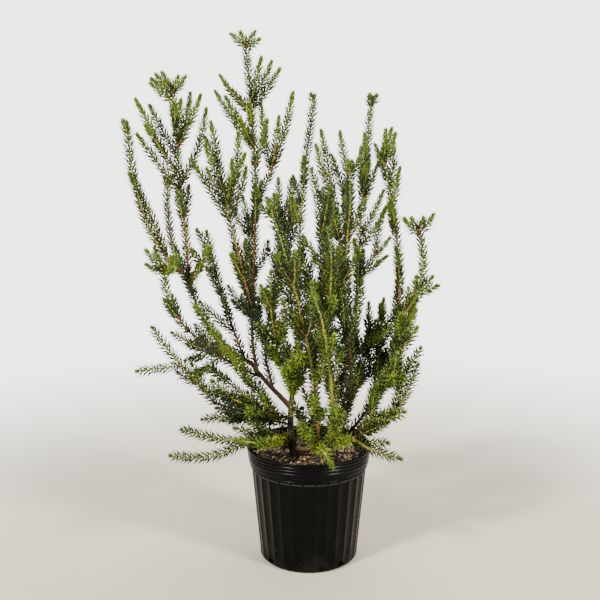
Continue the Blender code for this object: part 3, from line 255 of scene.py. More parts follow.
FOLIAGE = [
    Foliage("left_leader_foliage", "left_leader_bough", 1.0, (-231, -36, 712), (-241, -50, 880), [
        (0.3, 2, 60, 34, 80)], [
        (0, 0.93, 0.02, (-273, -62, 885)), (0, 0.97, 0.04, (-277, -32, 897)), (0, 0.99, 0, (-262, -72, 899)),
        (0, 0.99, 0, (-257, -42, 906)), (0, 0.98, 0.06, (-228, -60, 896)), (0, 0.97, 0.06, (-219, -36, 900)),
        (0, 0.5, 0, (-299, -70, 857)), (7, 0.3, 0.03, (-278, -98, 812)), (0, 0.62, 0, (-284, -22, 851)),
        (0, 0.44, 0, (-294, -90, 797)), (0, 0.69, 0.04, (-189, -70, 864)), (0, 0.7, 0.05, (-212, -25, 872)),
        (0, 0.71, 0.06, (-223, -66, 857)), (0, 0.8, 0.05, (-232, -82, 852)),
        (0, 0.48, 0.06, (-186, -10, 846))]),
    Foliage("far_left_foliage", "left_leader_bough", 0.93, (-284, -84, 650), (-307, -114, 815), [
        (0.95, 2, 22, 28, 60)], [
        (0, 0.22, 0.03, (-306, -104, 731))]),
    Foliage("left_back_foliage", "left_leader_bough", 0.8, (-262, 30, 622), (-268, 66, 724), [
        (0.94, 2, 22, 30, 0), (0.25, 1, 60, 32, 100)]),
    Foliage("left_inner_tuft", "left_leader_bough", 0.96, (-192, -58, 562), (-179, -66, 602), [
        (0.3, 1, 30, 40, 280)], [
        (0, 0.6, 0.08, (-208, -74, 600))]),
    Foliage("left_cluster_foliage", "left_spreading_bough", 1.0, (-251, -72, 510), (-256, -84, 572), [
        (0.25, 2, 44, 36, 250)], [
        (0, 0.92, 0.03, (-282, -104, 600)), (0, 0.94, 0.03, (-275, -66, 600)),
        (0, 0.91, 0.1, (-284, -90, 574)),
        (0, 0.92, 0.04, (-235, -112, 591)), (0, 0.89, 0.05, (-232, -60, 580)),
        (0, 0.9, 0.08, (-234, -118, 571))]),
    Foliage("inner_left_foliage", "left_leader_bough", 0.07, (-167, 30, 507), (-196, 56, 622), [
        (0.66, 2, 66, 30, 70), (0.3, 1, 80, 22, 10)], [
        (0, 0.78, 0.03, (-212, 42, 626)), (0, 0.5, 0.02, (-193, 24, 556)), (0, 0.22, 0.02, (-204, 10, 492))]),
    Foliage("inner_left_low_foliage", "left_leader_bough", 0.24, (-200, 30, 400), (-264, 45, 427), [
        (0.5, 2, 40, 34, 60)], [
        (0, 0.12, 0.03, (-236, 20, 379)), (0, 0.05, 0.1, (-225, 0, 349)), (0, 0.3, 0.03, (-222, 60, 440))]),
    Foliage("top_leader_foliage", "top_leader_bough", 1.0, (-101, 24, 722), (-116, 15, 966), [
        (0.3, 2, 75, 32, 80)], [
        (0, 0.985, 0.04, (-141, 30, 983)), (0, 0.99, 0, (-122, -8, 980)), (0, 0.99, 0.03, (-100, 20, 985)),
        (0, 0.98, 0.04, (-90, -12, 968)), (0, 0.78, 0.06, (-86, -20, 934)), (0, 0.77, 0.03, (-70, 34, 935)),
        (0, 0.75, 0.05, (-55, -2, 917)), (0, 0.73, 0.04, (-158, -14, 904)), (0, 0.75, 0.02, (-147, 40, 887)),
        (0, 0.59, 0.02, (-172, 30, 881)), (0, 0.62, 0.02, (-148, -25, 866)),
        (0, 0.68, 0.04, (-107, -38, 854)),
        (0, 0.6, 0.04, (-123, -44, 826)), (0, 0.37, 0.05, (-30, -6, 875)), (14, 0.33, 0.03, (-89, 26, 859)),
        (14, 0.36, 0, (-54, -44, 830)), (0, 0.52, 0.04, (-75, -35, 825))]),
    Foliage("top_left_foliage", "top_leader_bough", 0.85, (-140, -40, 640), (-171, -66, 818), [
        (0.2, 2, 60, 34, 60)], [
        (0, 0.78, 0.02, (-184, -50, 795)), (0, 0.66, 0.02, (-179, -90, 779)), (0, 0.5, 0, (-207, -66, 755)),
        (0, 0.56, 0.03, (-185, -20, 740)), (0, 0.56, 0.05, (-126, -44, 802)),
        (0, 0.64, 0.04, (-111, -100, 764)),
        (0, 0.52, 0.05, (-114, -22, 742)), (0, 0.6, 0.03, (-133, -98, 754))]),
    Foliage("top_back_foliage", "top_leader_bough", 0.7, (-116, 78, 600), (-129, 104, 686), [
        (0.7, 3, 55, 32, 80), (0.35, 3, 85, 34, 30)]),
    Foliage("inner_back_foliage", "inner_back_bough", 1.0, (-60, 96, 600), (-60, 124, 722), [
        (0.7, 3, 62, 30, 0), (0.38, 3, 90, 34, 60)]),
    Foliage("centre_foliage", "centre_bough", 1.0, (-16, 24, 650), (10, 40, 874), [
        (0.98, 2, 18, 30, 0), (0.42, 2, 80, 28, 60), (0.2, 3, 90, 34, 260)], [
        (0, 0.63, 0.03, (-10, -6, 762)), (0, 0.55, 0.05, (-30, 60, 728)), (0, 0.47, 0.03, (-32, -20, 690))]),
    Foliage("centre_back_foliage", "centre_back_bough", 1.0, (-42, 152, 570), (-35, 188, 722), [
        (0.66, 4, 76, 30, 40), (0.3, 3, 100, 34, 90)]),
    Foliage("centre_front_foliage", "trunk", 0.93, (-61, -34, 420), (-68, -84, 560), [
        (0.7, 3, 50, 34, 250), (0.4, 3, 66, 34, 200), (0.2, 2, 60, 36, 150)]),
    Foliage("centre_right_foliage", "centre_right_bough", 1.0, (22, -66, 600), (4, -86, 738), [
        (0.62, 3, 85, 26, 300), (0.28, 3, 90, 34, 200)]),
    Foliage("centre_right_front_foliage", "centre_right_bough", 0.9, (36, -112, 540), (30, -136, 638), [
        (0.35, 2, 70, 38, 280)], [
        (0, 0.62, 0.05, (-7, -120, 619)), (0, 0.66, 0.05, (46, -128, 606)), (0, 0.64, 0.12, (55, -110, 584)),
        (0, 0.84, 0.05, (14, -100, 629))]),
    Foliage("right_star_foliage", "centre_right_bough", 0.78, (70, 34, 610), (59, 58, 810), [
        (0.6, 2, 80, 24, 80), (0.25, 2, 80, 32, 60)], [
        (0, 0.4, -0.02, (22, 20, 810)), (1, 0.35, 0, (12, -24, 782)), (0, 0.68, 0, (45, 90, 767)),
        (1, 0.2, 0.02, (35, -46, 687)), (1, 0.17, 0, (19, 60, 698))]),
    Foliage("far_back_foliage", "centre_back_bough", 0.84, (34, 158, 560), (30, 206, 702), [
        (0.64, 3, 78, 30, 20), (0.3, 3, 95, 34, 50)]),
    Foliage("right_front_foliage", "right_front_bough", 1.0, (65, -96, 618), (69, -126, 750), [
        (0.94, 3, 24, 36, 0), (0.55, 3, 75, 26, 240), (0.25, 2, 60, 34, 300)]),
    Foliage("right_inner_foliage", "right_inner_bough", 1.0, (97, 25, 630), (117, 38, 872), [
        (0.97, 3, 22, 34, 0), (0.66, 1, 80, 22, 90), (0.25, 2, 80, 34, 80)], [
        (0, 0.62, 0.02, (101, 2, 803)), (0, 0.6, 0.04, (99, 62, 781)), (0, 0.65, 0.03, (108, -10, 751)),
        (0, 0.59, 0.03, (129, 40, 752)), (0, 0.45, 0.05, (142, 60, 700)), (0, 0.41, 0.08, (140, -16, 672)),
        (0, 0.31, 0.06, (156, 70, 609)), (0, 0.29, 0.06, (144, 8, 580)), (7, 0.5, 0.1, (145, 50, 668)),
        (0, 0.35, 0.03, (81, -30, 614))]),
    Foliage("right_outer_foliage", "right_outer_bough", 1.0, (160, -20, 620), (128, -30, 766), [
        (0.55, 2, 70, 24, 60), (0.3, 1, 60, 28, 250)], [
        (0, 0.97, 0.04, (134, -45, 807)), (0, 0.98, 0.06, (147, -15, 811)), (0, 0.95, 0.08, (150, -50, 800)),
        (0, 0.8, 0.06, (154, 0, 785)), (0, 0.72, 0.04, (158, -60, 741)), (0, 0.58, 0.02, (142, -70, 687)),
        (0, 0.85, 0.04, (120, -5, 783))]),
    Foliage("far_right_foliage", "right_spreading_bough", 1.0, (200, -60, 545), (193, -72, 638), [
        (0.3, 2, 34, 38, 20)], [
        (0, 0.95, 0.12, (165, -88, 654)), (0, 0.96, 0.05, (183, -50, 653)), (0, 0.97, 0, (198, -80, 654)),
        (0, 0.95, 0.06, (218, -64, 660))]),
    Foliage("far_right_low_foliage", "right_outer_bough", 0.8, (179, -72, 500), (220, -112, 540), [
        (0.6, 2, 34, 34, 120)], [
        (0, 0.86, 0.08, (206, -100, 530))]),
    Foliage("right_skirt_foliage", "right_lower_bough", 1.0, (167, -70, 428), (188, -85, 493), [
        (0.4, 1, 36, 30, 180)], [
        (0, 0.4, 0.08, (188, -104, 466))]),
    Foliage("low_right_foliage", "right_low_bough", 1.0, (151, -70, 300), (195, -75, 391), [
        (0.4, 2, 50, 34, 100)], [
        (0, 0.45, 0.03, (194, -104, 428)), (0, 0.16, 0.03, (145, -116, 408)),
        (0, 0.06, 0.05, (147, -85, 310))]),
    Foliage("low_right_front_foliage", "right_lower_bough", 0.66, (147, -104, 376), (150, -132, 424), [
        (0.4, 2, 36, 36, 240)]),
    Foliage("right_back_foliage", "right_inner_bough", 0.25, (104, 22, 366), (116, 46, 484), [
        (0.3, 2, 60, 36, 60)], [
        (0, 0.6, 0.04, (129, 34, 452)), (0, 0.3, 0.04, (151, 70, 380))]),
    Foliage("front_tall_foliage", "right_low_bough", 0.44, (-8, -112, 455), (-72, -146, 690), [
        (0.95, 4, 30, 42, 0), (0.7, 3, 62, 28, 200), (0.5, 3, 85, 32, 220), (0.3, 3, 80, 34, 60),
        (0.14, 2, 60, 40, 130)]),
    Foliage("front_bright_foliage", "right_low_bough", 0.68, (30, -132, 424), (5, -152, 539), [
        (0.55, 2, 50, 28, 240), (0.35, 2, 60, 34, 100)]),
    Foliage("rim_front_foliage", "right_low_bough", 0.35, (22, -98, 242), (39, -136, 225), [
        (0.5, 1, 30, 46, 30)], [
        (0, 0.3, 0.05, (-17, -130, 298)), (0, 0.1, 0.04, (-28, -64, 319)), (0, 0.08, 0.03, (4, -16, 299))]),
    Foliage("front_low_foliage", "right_low_bough", 0.56, (48, -104, 294), (37, -132, 336), [
        (0.5, 2, 38, 34, 250)], [
        (0, 0.1, 0.05, (74, -108, 264))]),
    Foliage("rim_right_foliage", "right_low_bough", 0.92, (108, -86, 240), (162, -107, 228), [], [
        (0, 0.35, 0.04, (140, -92, 252)), (0, 0.12, 0.05, (140, -70, 281))]),
    Foliage("low_left_foliage", "low_left_bough", 1.0, (-242, -42, 392), (-284, -56, 456), [
        (0.3, 2, 44, 34, 340)], [
        (0, 0.54, 0.1, (-311, -62, 378))]),
    Foliage("low_left_back_foliage", "trunk", 0.4, (-122, 6, 270), (-206, 26, 260), [
        (0.5, 2, 44, 34, 100)], [
        (0, 0.45, 0.04, (-180, 46, 276))]),
    Foliage("rim_left_foliage", "trunk", 0.2, (-140, -50, 242), (-230, -80, 273), [
        (0.3, 1, 30, 36, 120)], [
        (0, 0.42, 0.1, (-249, -97, 230))]),
    Foliage("drooping_left_foliage", "trunk", 0.3, (-86, -62, 243), (-134, -84, 255), [
        (0.55, 1, 36, 36, 100)], [
        (0, 0.35, 0.04, (-137, -40, 262)), (0, 0.2, 0.03, (-109, -60, 278))]),
    Foliage("back_low_foliage", "centre_back_bough", 0.55, (14, 118, 390), (40, 176, 460), [
        (0.72, 3, 55, 36, 60), (0.4, 3, 74, 36, 20)]),
    Foliage("back_left_foliage", "inner_back_bough", 0.7, (-112, 112, 450), (-136, 168, 556), [
        (0.72, 3, 55, 34, 120), (0.38, 3, 84, 36, 100)]),
    Foliage("lower_left_foliage", "low_left_bough", 0.14, (-112, -52, 309), (-194, -58, 346), [
        (0.72, 1, 40, 32, 70), (0.35, 2, 50, 36, 80)], [
        (0, 0.62, 0.04, (-176, -72, 361)), (0, 0.3, 0.06, (-187, -40, 380)),
        (0, 0.14, 0.05, (-132, -70, 384)), (0, 0.07, 0.02, (-86, -80, 340))]),
    Foliage("centre_low_foliage", "trunk", 0.78, (-26, -66, 366), (-20, -118, 440), [
        (0.72, 3, 50, 36, 280), (0.42, 3, 66, 38, 240)]),
    Foliage("right_low_inner_foliage", "right_low_bough", 0.5, (66, 46, 330), (72, 104, 420), [
        (0.72, 3, 52, 36, 60), (0.42, 3, 70, 38, 20)]),
    Foliage("right_back_low_foliage", "right_outer_bough", 0.3, (137, 14, 396), (133, 0, 489), [
        (0.35, 2, 56, 36, 70)], [
        (0, 0.8, 0.04, (142, 24, 495))]),
]


# How long the bright young end of a shoot is, in millimetres, where it isn't YOUNG_END.
YOUNG_END = 18
YOUNG_ENDS = {
    "left_leader_foliage": 32,
    "far_left_foliage": 26,
    "left_cluster_foliage": 26,
    "top_leader_foliage": 34,
    "top_left_foliage": 30,
    "centre_foliage": 30,
    "right_star_foliage": 36,
    "right_inner_foliage": 40,
    "right_outer_foliage": 38,
    "right_front_foliage": 24,
    "far_right_foliage": 26,
    "centre_front_foliage": 10,
    "centre_right_foliage": 10,
    "centre_right_front_foliage": 8,
    "centre_low_foliage": 8,
    "inner_left_foliage": 14,
    "inner_left_low_foliage": 10,
    "low_right_front_foliage": 14,
    "right_back_low_foliage": 60,
    "right_skirt_foliage": 30,
    "right_back_foliage": 24,
    "front_bright_foliage": 44,
    "front_tall_foliage": 22,
    "rim_front_foliage": 40,
    "rim_right_foliage": 14,
    "low_left_foliage": 8,
    "low_left_back_foliage": 8,
    "rim_left_foliage": 8,
    "drooping_left_foliage": 24,
    "lower_left_foliage": 10,
    "low_right_foliage": 12,
}


class Space:
    """Remembers which shoot holds each place, so that shoots keep clear of one another."""

    def __init__(self):
        self.cells = {}

    def cell(self, point):
        return tuple(math.floor(value / CELL) for value in point)

    def claim(self, owner, point, radius):
        self.cells.setdefault(self.cell(point), []).append((point.copy(), radius, owner))

    def claim_route(self, owner, points, radii):
        for start, end, radius in zip(points, points[1:], radii):
            count = max(1, round((end - start).length / (4 * MM)))
            for step in range(count):
                self.claim(owner, start.lerp(end, step / count), radius)
        self.claim(owner, points[-1], radii[-1])

    def is_clear(self, owner, point, distance, crosses_own=False):
        home = self.cell(point)
        for x in (-1, 0, 1):
            for y in (-1, 0, 1):
                for z in (-1, 0, 1):
                    held = self.cells.get((home[0] + x, home[1] + y, home[2] + z), ())
                    for other, radius, holder in held:
                        if holder == owner:
                            continue
                        same = holder[0] == owner[0]
                        if same and crosses_own:
                            continue
                        room = OWN_CLEARANCE if same else distance
                        if (other - point).length < radius + room:
                            return False
        return not touches_pot(point, distance)


def wall_radius(height):
    """Outer radius of the fluted wall's crests at a height."""
    share = (height - WALL_FOOT_HEIGHT) / (COLLAR_FOOT_HEIGHT - WALL_FOOT_HEIGHT)
    top = COLLAR_FOOT_RADIUS - COLLAR_STEP
    return WALL_FOOT_RADIUS + (top - WALL_FOOT_RADIUS) * share


def inner_radius(height):
    """Inner radius of the pot at a height."""
    if height > COLLAR_FOOT_HEIGHT:
        share = (height - COLLAR_FOOT_HEIGHT) / (POT_HEIGHT - COLLAR_FOOT_HEIGHT)
        top = RIM_RADIUS - WALL_THICKNESS
        foot = wall_radius(COLLAR_FOOT_HEIGHT) - WALL_THICKNESS
        return foot + (top - foot) * share
    return wall_radius(height) - WALL_THICKNESS


def touches_pot(point, distance):
    """Whether a place lies in the pot or its mix, or nearer to them than the distance."""
    radius = math.hypot(point.x, point.y)
    if point.z < MIX_TOP + distance and radius < RIM_RADIUS + distance:
        return True
    return point.z < POT_HEIGHT + distance and abs(radius - inner_radius(POT_HEIGHT)) < distance + 6 * MM


def even_shares(segments):
    return [step / segments for step in range(segments + 1)]


def tooth_shares(length):
    """Shares along a shoot: a short neck, then even stretches."""
    neck = min(NECK / length, 0.3)
    count = max(1, round((length - NECK) / TOOTH_PITCH))
    return [0] + [neck + (1 - neck) * share for share in even_shares(count)]


def route(foot, by, tip, shares):
    """Points on the smooth curve that leaves the foot, passes by a place and ends at the tip."""
    pull = 2 * by - (foot + tip) / 2
    points = []
    for share in shares:
        points.append((1 - share) ** 2 * foot + 2 * share * (1 - share) * pull + share ** 2 * tip)
    return points


def route_length(points):
    return sum((end - start).length for start, end in zip(points, points[1:]))


def place_on(points, share):
    """The point at a share of the way along a route, and the route's direction there."""
    wanted = route_length(points) * share
    for start, end in zip(points, points[1:]):
        step = (end - start).length
        if wanted <= step or end is points[-1]:
            return start.lerp(end, min(1, wanted / step)), (end - start).normalized()
        wanted -= step


def taper(radii, count):
    return [radii[0] + (radii[1] - radii[0]) * index / (count - 1) for index in range(count)]


def trunk_points():
    foot = Vector((TRUNK_FOOT[0], TRUNK_FOOT[1], 0)) * MM
    foot.z = MIX_TOP + GAP
    shares = even_shares(TRUNK_SEGMENTS)
    points = route(foot, Vector(TRUNK_MIDDLE) * MM, Vector(TRUNK_TOP) * MM, shares)
    radii = taper([radius * MM for radius in TRUNK_RADIUS], len(points))
    for index, point in enumerate(points):
        radii[index] += FLARE_RADIUS * math.exp(-(point.z - foot.z) / FLARE_HEIGHT)
    return points, radii


def sideways(direction, turn):
    """A unit vector square to the direction, at a compass turn seen from above."""
    flat = Vector((math.cos(turn), math.sin(turn), 0))
    across = flat - flat.dot(direction) * direction
    if across.length < 0.1:
        across = Vector((0, 0, 1)) - direction.z * direction
    return across.normalized()


def uplift(height):
    """How strongly shoots at a height turn upward; those low down lie flatter."""
    share = (height - UPLIFT_LOW) / (UPLIFT_HIGH - UPLIFT_LOW)
    return UPLIFT * min(1, max(0, share))


def side_shoot(start, heading, length, lean, around, shares, lift=0.0):
    """A shoot that leaves its parent at an angle and then turns up."""
    out = heading * math.cos(lean) + sideways(heading, around) * math.sin(lean)
    up = (out + heading * 0.5 + Vector((0, 0, max(lift, uplift(start.z))))).normalized()
    by = start + out * length * 0.5
    tip = by + up * length * 0.5
    return route(start, by, tip, shares)


def leading_shoot(parent, leader):
    """A shoot that leaves its parent's route and bows outward on its way to a given tip."""
    on, at, bow, tip = leader
    tip = Vector(tip) * MM
    start, heading = place_on(parent, at)
    across = tip - start
    out = across - across.dot(heading) * heading
    by = start.lerp(tip, 0.5) + out.normalized() * across.length * bow
    return route(start, by, tip, tooth_shares(across.length))


def grow(foliage, foot, chance):
    """The routes of a mass: its stem, its leaders, then each shoot of its whorls, by a seeded rule."""
    length = (foliage.tip - foot).length
    stem = route(foot, foliage.by, foliage.tip, tooth_shares(length))
    routes = [stem]
    for leader in foliage.leaders:
        routes.append(leading_shoot(routes[leader[0]], leader))
    for at, count, reach, spread, turn in foliage.whorls:
        for index in range(count):
            place = at - index * WHORL_STAGGER / length
            around = math.radians(turn + 360 * index / count + chance.uniform(-TURN_JITTER, TURN_JITTER))
            lean = math.radians(spread + chance.uniform(-SPREAD_JITTER, SPREAD_JITTER))
            shoot_length = reach * MM * chance.uniform(*LENGTH_SPAN)
            start, heading = place_on(stem, place)
            shares = tooth_shares(shoot_length)
            routes.append(side_shoot(start, heading, shoot_length, lean, around, shares))
    return routes


def waver(points, chance):
    """Bend a route a little from place to place, as grown wood bends."""
    for point in points[1:-1]:
        point += Vector([chance.uniform(-WAVER, WAVER) for axis in range(3)])


class Shoot:
    """A length of green wood: its mass, route, thickness and age, and how bright its end is."""

    def __init__(self, mass, points, radii, order, bright=1.0):
        self.mass = mass
        self.points = points
        self.radii = radii
        self.order = order
        self.bright = bright

    def length(self):
        return route_length(self.points)


class Plant:
    """The whole plant's routes: limbs, the stems and shoots of each mass, and finer twigs."""

    def __init__(self):
        self.limbs = {"trunk": trunk_points()}
        self.space = Space()
        self.shoots = []
        self.space.claim_route(("trunk", 0), *self.limbs["trunk"])
        for limb in BOUGHS:
            self.lay_bough(limb)
        self.lay_foliage()
        self.lay_twigs()
        self.lay_sprays()

    def lay_bough(self, limb):
        chance = random.Random(limb.name)
        foot, heading = place_on(self.limbs[limb.parent][0], limb.at)
        points = route(foot, limb.by, limb.tip, even_shares(BOUGH_SEGMENTS))
        waver(points, chance)
        radii = taper(limb.radii, len(points))
        self.limbs[limb.name] = (points, radii)
        self.space.claim_route((limb.name, 0), points, radii)

    def plan_foliage(self, foliage):
        parent_points, parent_radii = self.limbs[foliage.parent]
        foot, heading = place_on(parent_points, foliage.at)
        chance = random.Random(foliage.name)
        routes = grow(foliage, foot, chance)
        for points in routes:
            waver(points, chance)
        if foliage.parent == "trunk":
            return routes, TRUNK_STEM_RADIUS * MM
        return routes, parent_radii[-1] * STEM_FOOT_SHARE

    def lay_foliage(self):
        """The stems claim their places first, and then each shoot that finds room is kept."""
        plans = {}
        for foliage in FOLIAGE:
            routes, foot_radius = self.plan_foliage(foliage)
            radii = taper([foot_radius, STEM_TIP_RADIUS * MM], len(routes[0]))
            self.space.claim_route((foliage.name, 0), routes[0], radii)
            self.shoots.append(Shoot(foliage.name, routes[0], radii, 0))
            plans[foliage.name] = routes
        for foliage in FOLIAGE:
            dropped = set()
            for number, points in enumerate(plans[foliage.name][1:], 1):
                owner = (foliage.name, number)
                leads = number <= len(foliage.leaders)
                stands = not leads or foliage.leaders[number - 1][0] not in dropped
                clearance = LEADER_CLEARANCE if leads else SHOOT_CLEARANCE
                if not stands or not self.fits(owner, points, clearance, leads):
                    dropped.add(number)
                else:
                    radii = taper([radius * MM for radius in SHOOT_RADIUS], len(points))
                    self.space.claim_route(owner, points, radii)
                    self.shoots.append(Shoot(foliage.name, points, radii, 1, 1 if leads else WHORL_BRIGHT))

    def fits(self, owner, points, clearance, crosses_own=False):
        for start, end in zip(points, points[1:]):
            count = math.ceil((end - start).length / PROBE_PITCH)
            for step in range(count):
                probe = start.lerp(end, (step + 1) / count)
                near_foot = (probe - points[0]).length < FOOT_REACH
                if not near_foot and not self.space.is_clear(owner, probe, clearance, crosses_own):
                    return False
        return True

    def add_twig(self, mass, number, start, heading, length, chance):
        """One fine twig, on the first side where it finds room inside the crown."""
        lift = UPLIFT * (1.3 - math.hypot(start.x, start.y) / CORE_RADIUS)
        lean = math.radians(chance.uniform(*TWIG_LEAN))
        for attempt in range(TWIG_TRIES):
            around = (number + attempt * 0.37) * GOLDEN_TURN + chance.uniform(-0.3, 0.3)
            points = side_shoot(start, heading, length, lean, around, even_shares(4), lift)
            owner = (mass, 1000 + len(self.shoots))
            if stays_inside(points) and self.fits(owner, points, TWIG_CLEARANCE):
                radii = taper([radius * MM for radius in TWIG_RADIUS], len(points))
                self.space.claim_route(owner, points, radii)
                self.shoots.append(Shoot(mass, points, radii, 2))
                return

    def lay_twigs(self):
        """Fine twigs along each shoot, closer together low down in the crown."""
        for index, shoot in enumerate(list(self.shoots)):
            chance = random.Random(f"{shoot.mass} {index}")
            total = shoot.length()
            place = 0.3 * total if shoot.order else 0.16 * total
            number = chance.randrange(8)
            while place < total - 30 * MM:
                start, heading = place_on(shoot.points, place / total)
                if density(start.z) <= 0:
                    break
                length = (total - place) * chance.uniform(*TWIG_SHARE)
                length = min(max(length, TWIG_LENGTH[0]), TWIG_LENGTH[1])
                self.add_twig(shoot.mass, number, start, heading, length, chance)
                number += 1
                pitch = between((TWIG_PITCH_HIGH, TWIG_PITCH_LOW), density(start.z))
                place += pitch * chance.uniform(0.75, 1.25)

    def lay_sprays(self):
        """Longer twigs on the trunk's upper half and on every bough."""
        hosts = {foliage.parent: foliage.name for foliage in FOLIAGE}
        for name, (points, radii) in self.limbs.items():
            chance = random.Random(f"{name} sprays")
            total = route_length(points)
            place = (TRUNK_SPRAY_FROM if name == "trunk" else BOUGH_SPRAY_FROM) * total
            number = chance.randrange(8)
            mass = hosts.get(name, FOLIAGE[0].name)
            while place < total:
                start, heading = place_on(points, place / total)
                length = chance.uniform(*SPRAY_LENGTH)
                self.add_twig(mass, number, start, heading, length, chance)
                number += 1
                place += SPRAY_PITCH * chance.uniform(0.75, 1.25)


def stays_inside(points):
    """Whether a twig ends inside the crown's box and keeps out of the crown's openings."""
    tip = points[-1]
    if not all(low < value < high for low, value, high in zip(CAD_BOX[0], tip, CAD_BOX[1])):
        return False
    for point in points[1:]:
        x, z = seen_at(point)
        if beyond_limits(x / MM, z / MM):
            return False
        if any(math.hypot(x - hole[0] * MM, z - hole[1] * MM) < hole[2] * MM for hole in OPENINGS):
            return False
    return True


def beyond_limits(x, z):
    """Whether a place, in millimetres, is past the side limits of its height."""
    for low, high in zip(TWIG_LIMITS, TWIG_LIMITS[1:]):
        if low[0] <= z < high[0]:
            share = (z - low[0]) / (high[0] - low[0])
            return x < between((low[1], high[1]), share) or x > between((low[2], high[2]), share)
    return z < TWIG_LIMITS[0][0]


def seen_at(point):
    """Where the camera's line to a point crosses the upright plane of the pot's axis."""
    share = -CAMERA_PLACE[1] / (point.y - CAMERA_PLACE[1])
    x = CAMERA_PLACE[0] + (point.x - CAMERA_PLACE[0]) * share
    return x, CAMERA_PLACE[2] + (point.z - CAMERA_PLACE[2]) * share


def between(pair, share):
    """A value between the pair's first, at 0, and its second, at 1."""
    return pair[0] + (pair[1] - pair[0]) * share


def density(height):
    """How crowded the crown is at a height: 1 low down, and 0 among the open tops."""
    return 1 - min(1, max(0, (height - DENSE_BELOW) / (OPEN_ABOVE - DENSE_BELOW)))


class Value:
    """A socket in a material, which takes part in plain arithmetic."""

    def __init__(self, paint, socket):
        self.paint = paint
        self.socket = socket

    def __add__(self, other):
        return self.paint.maths("ADD", self, other)

    def __radd__(self, other):
        return self.paint.maths("ADD", other, self)

    def __sub__(self, other):
        return self.paint.maths("SUBTRACT", self, other)

    def __rsub__(self, other):
        return self.paint.maths("SUBTRACT", other, self)

    def __mul__(self, other):
        return self.paint.maths("MULTIPLY", self, other)

    def __rmul__(self, other):
        return self.paint.maths("MULTIPLY", other, self)


class Paint:
    """One finish: a Principled material, and the nodes that vary it over the surface."""

    def __init__(self, name, roughness=0.5, color=(0.5, 0.5, 0.5)):
        self.material = bpy.data.materials.new(name)
        self.material.use_nodes = True
        self.tree = self.material.node_tree
        self.shader = self.tree.nodes["Principled BSDF"]
        self.shader.inputs["Roughness"].default_value = roughness
        self.shader.inputs["Base Color"].default_value = (*color, 1)

    def add(self, kind, settings=None, sockets=None, output=0):
        """Any node: its type, its settings, and then the values or links of its sockets."""
        node = self.tree.nodes.new(kind)
        for key, value in (settings or {}).items():
            setattr(node, key, value)
        for key, value in (sockets or {}).items():
            self.feed(node.inputs[key], value)
        return Value(self, node.outputs[output])

    def feed(self, socket, value):
        if isinstance(value, Value):
            self.tree.links.new(value.socket, socket)
        elif isinstance(value, tuple) and len(value) == 3 and socket.type == "RGBA":
            socket.default_value = (*value, 1)
        else:
            socket.default_value = value

    def maths(self, operation, first, second, clamp=False):
        settings = {"operation": operation, "use_clamp": clamp}
        return self.add("ShaderNodeMath", settings, {0: first, 1: second})

    def place(self, scale=(1, 1, 1), turn=(0, 0, 0)):
        """Object coordinates, stretched and turned."""
        coordinates = self.add("ShaderNodeTexCoord", output="Object")
        return self.add("ShaderNodeMapping", None, {"Vector": coordinates, "Scale": scale, "Rotation": turn})

    def noise(self, scale, detail=3.0, roughness=0.5, stretch=(1, 1, 1)):
        sockets = {"Vector": self.place(stretch), "Scale": scale, "Detail": detail, "Roughness": roughness}
        return self.add("ShaderNodeTexNoise", None, sockets)

    def cells(self, scale, stretch=(1, 1, 1), feature="F1"):
        sockets = {"Vector": self.place(stretch), "Scale": scale}
        return self.add("ShaderNodeTexVoronoi", {"feature": feature}, sockets)

    def spread(self, value, low, high, to_low=0.0, to_high=1.0):
        """The value's span from low to high, stretched to another span and held there."""
        sockets = {0: value, 1: low, 2: high, 3: to_low, 4: to_high}
        return self.add("ShaderNodeMapRange", {"clamp": True}, sockets)

    def blend(self, mask, low, high):
        """From one colour to the other as the mask goes from 0 to 1."""
        return self.add("ShaderNodeMix", {"data_type": "RGBA"}, {0: mask, 6: low, 7: high}, 2)

    def bump(self, height, depth, strength=1.0):
        sockets = {"Height": height, "Distance": depth, "Strength": strength}
        return self.add("ShaderNodeBump", None, sockets)

    def finish(self, **sockets):
        """Feed the shader's own sockets, named in lower case with underscores."""
        for key, value in sockets.items():
            self.feed(self.shader.inputs[key.replace("_", " ").title()], value)
        return self.material


def nursery_plastic():
    """Black moulded plastic, satin, with dust that gathers towards the foot and faint scuffs."""
    paint = Paint("nursery_plastic")
    paint.shader.inputs["Specular IOR Level"].default_value = 0.055
    height = paint.add("ShaderNodeSeparateXYZ", None, {0: paint.place()}, "Z")
    cloudy = paint.noise(38, 5, 0.6)
    streaks = paint.noise(30, 3, 0.6, (6, 6, 0.5))
    low_down = paint.spread(height, 0.0, 0.09, 1.0, 0.15)
    dust = paint.spread(cloudy, 0.45, 0.78) * low_down
    scuffs = paint.spread(paint.noise(210, 2, 0.7, (1, 1, 0.35)), 0.66, 0.74)
    worn = dust * 0.12 + scuffs * 0.1
    color = paint.blend(worn, (0.0016, 0.0016, 0.0014), (0.075, 0.068, 0.052))
    rough = 0.16 + cloudy * 0.1 + streaks * 0.08 + dust * 0.12
    normal = paint.bump(paint.noise(420, 2), 0.00025, 0.35)
    return paint.finish(base_color=color, roughness=rough, normal=normal)


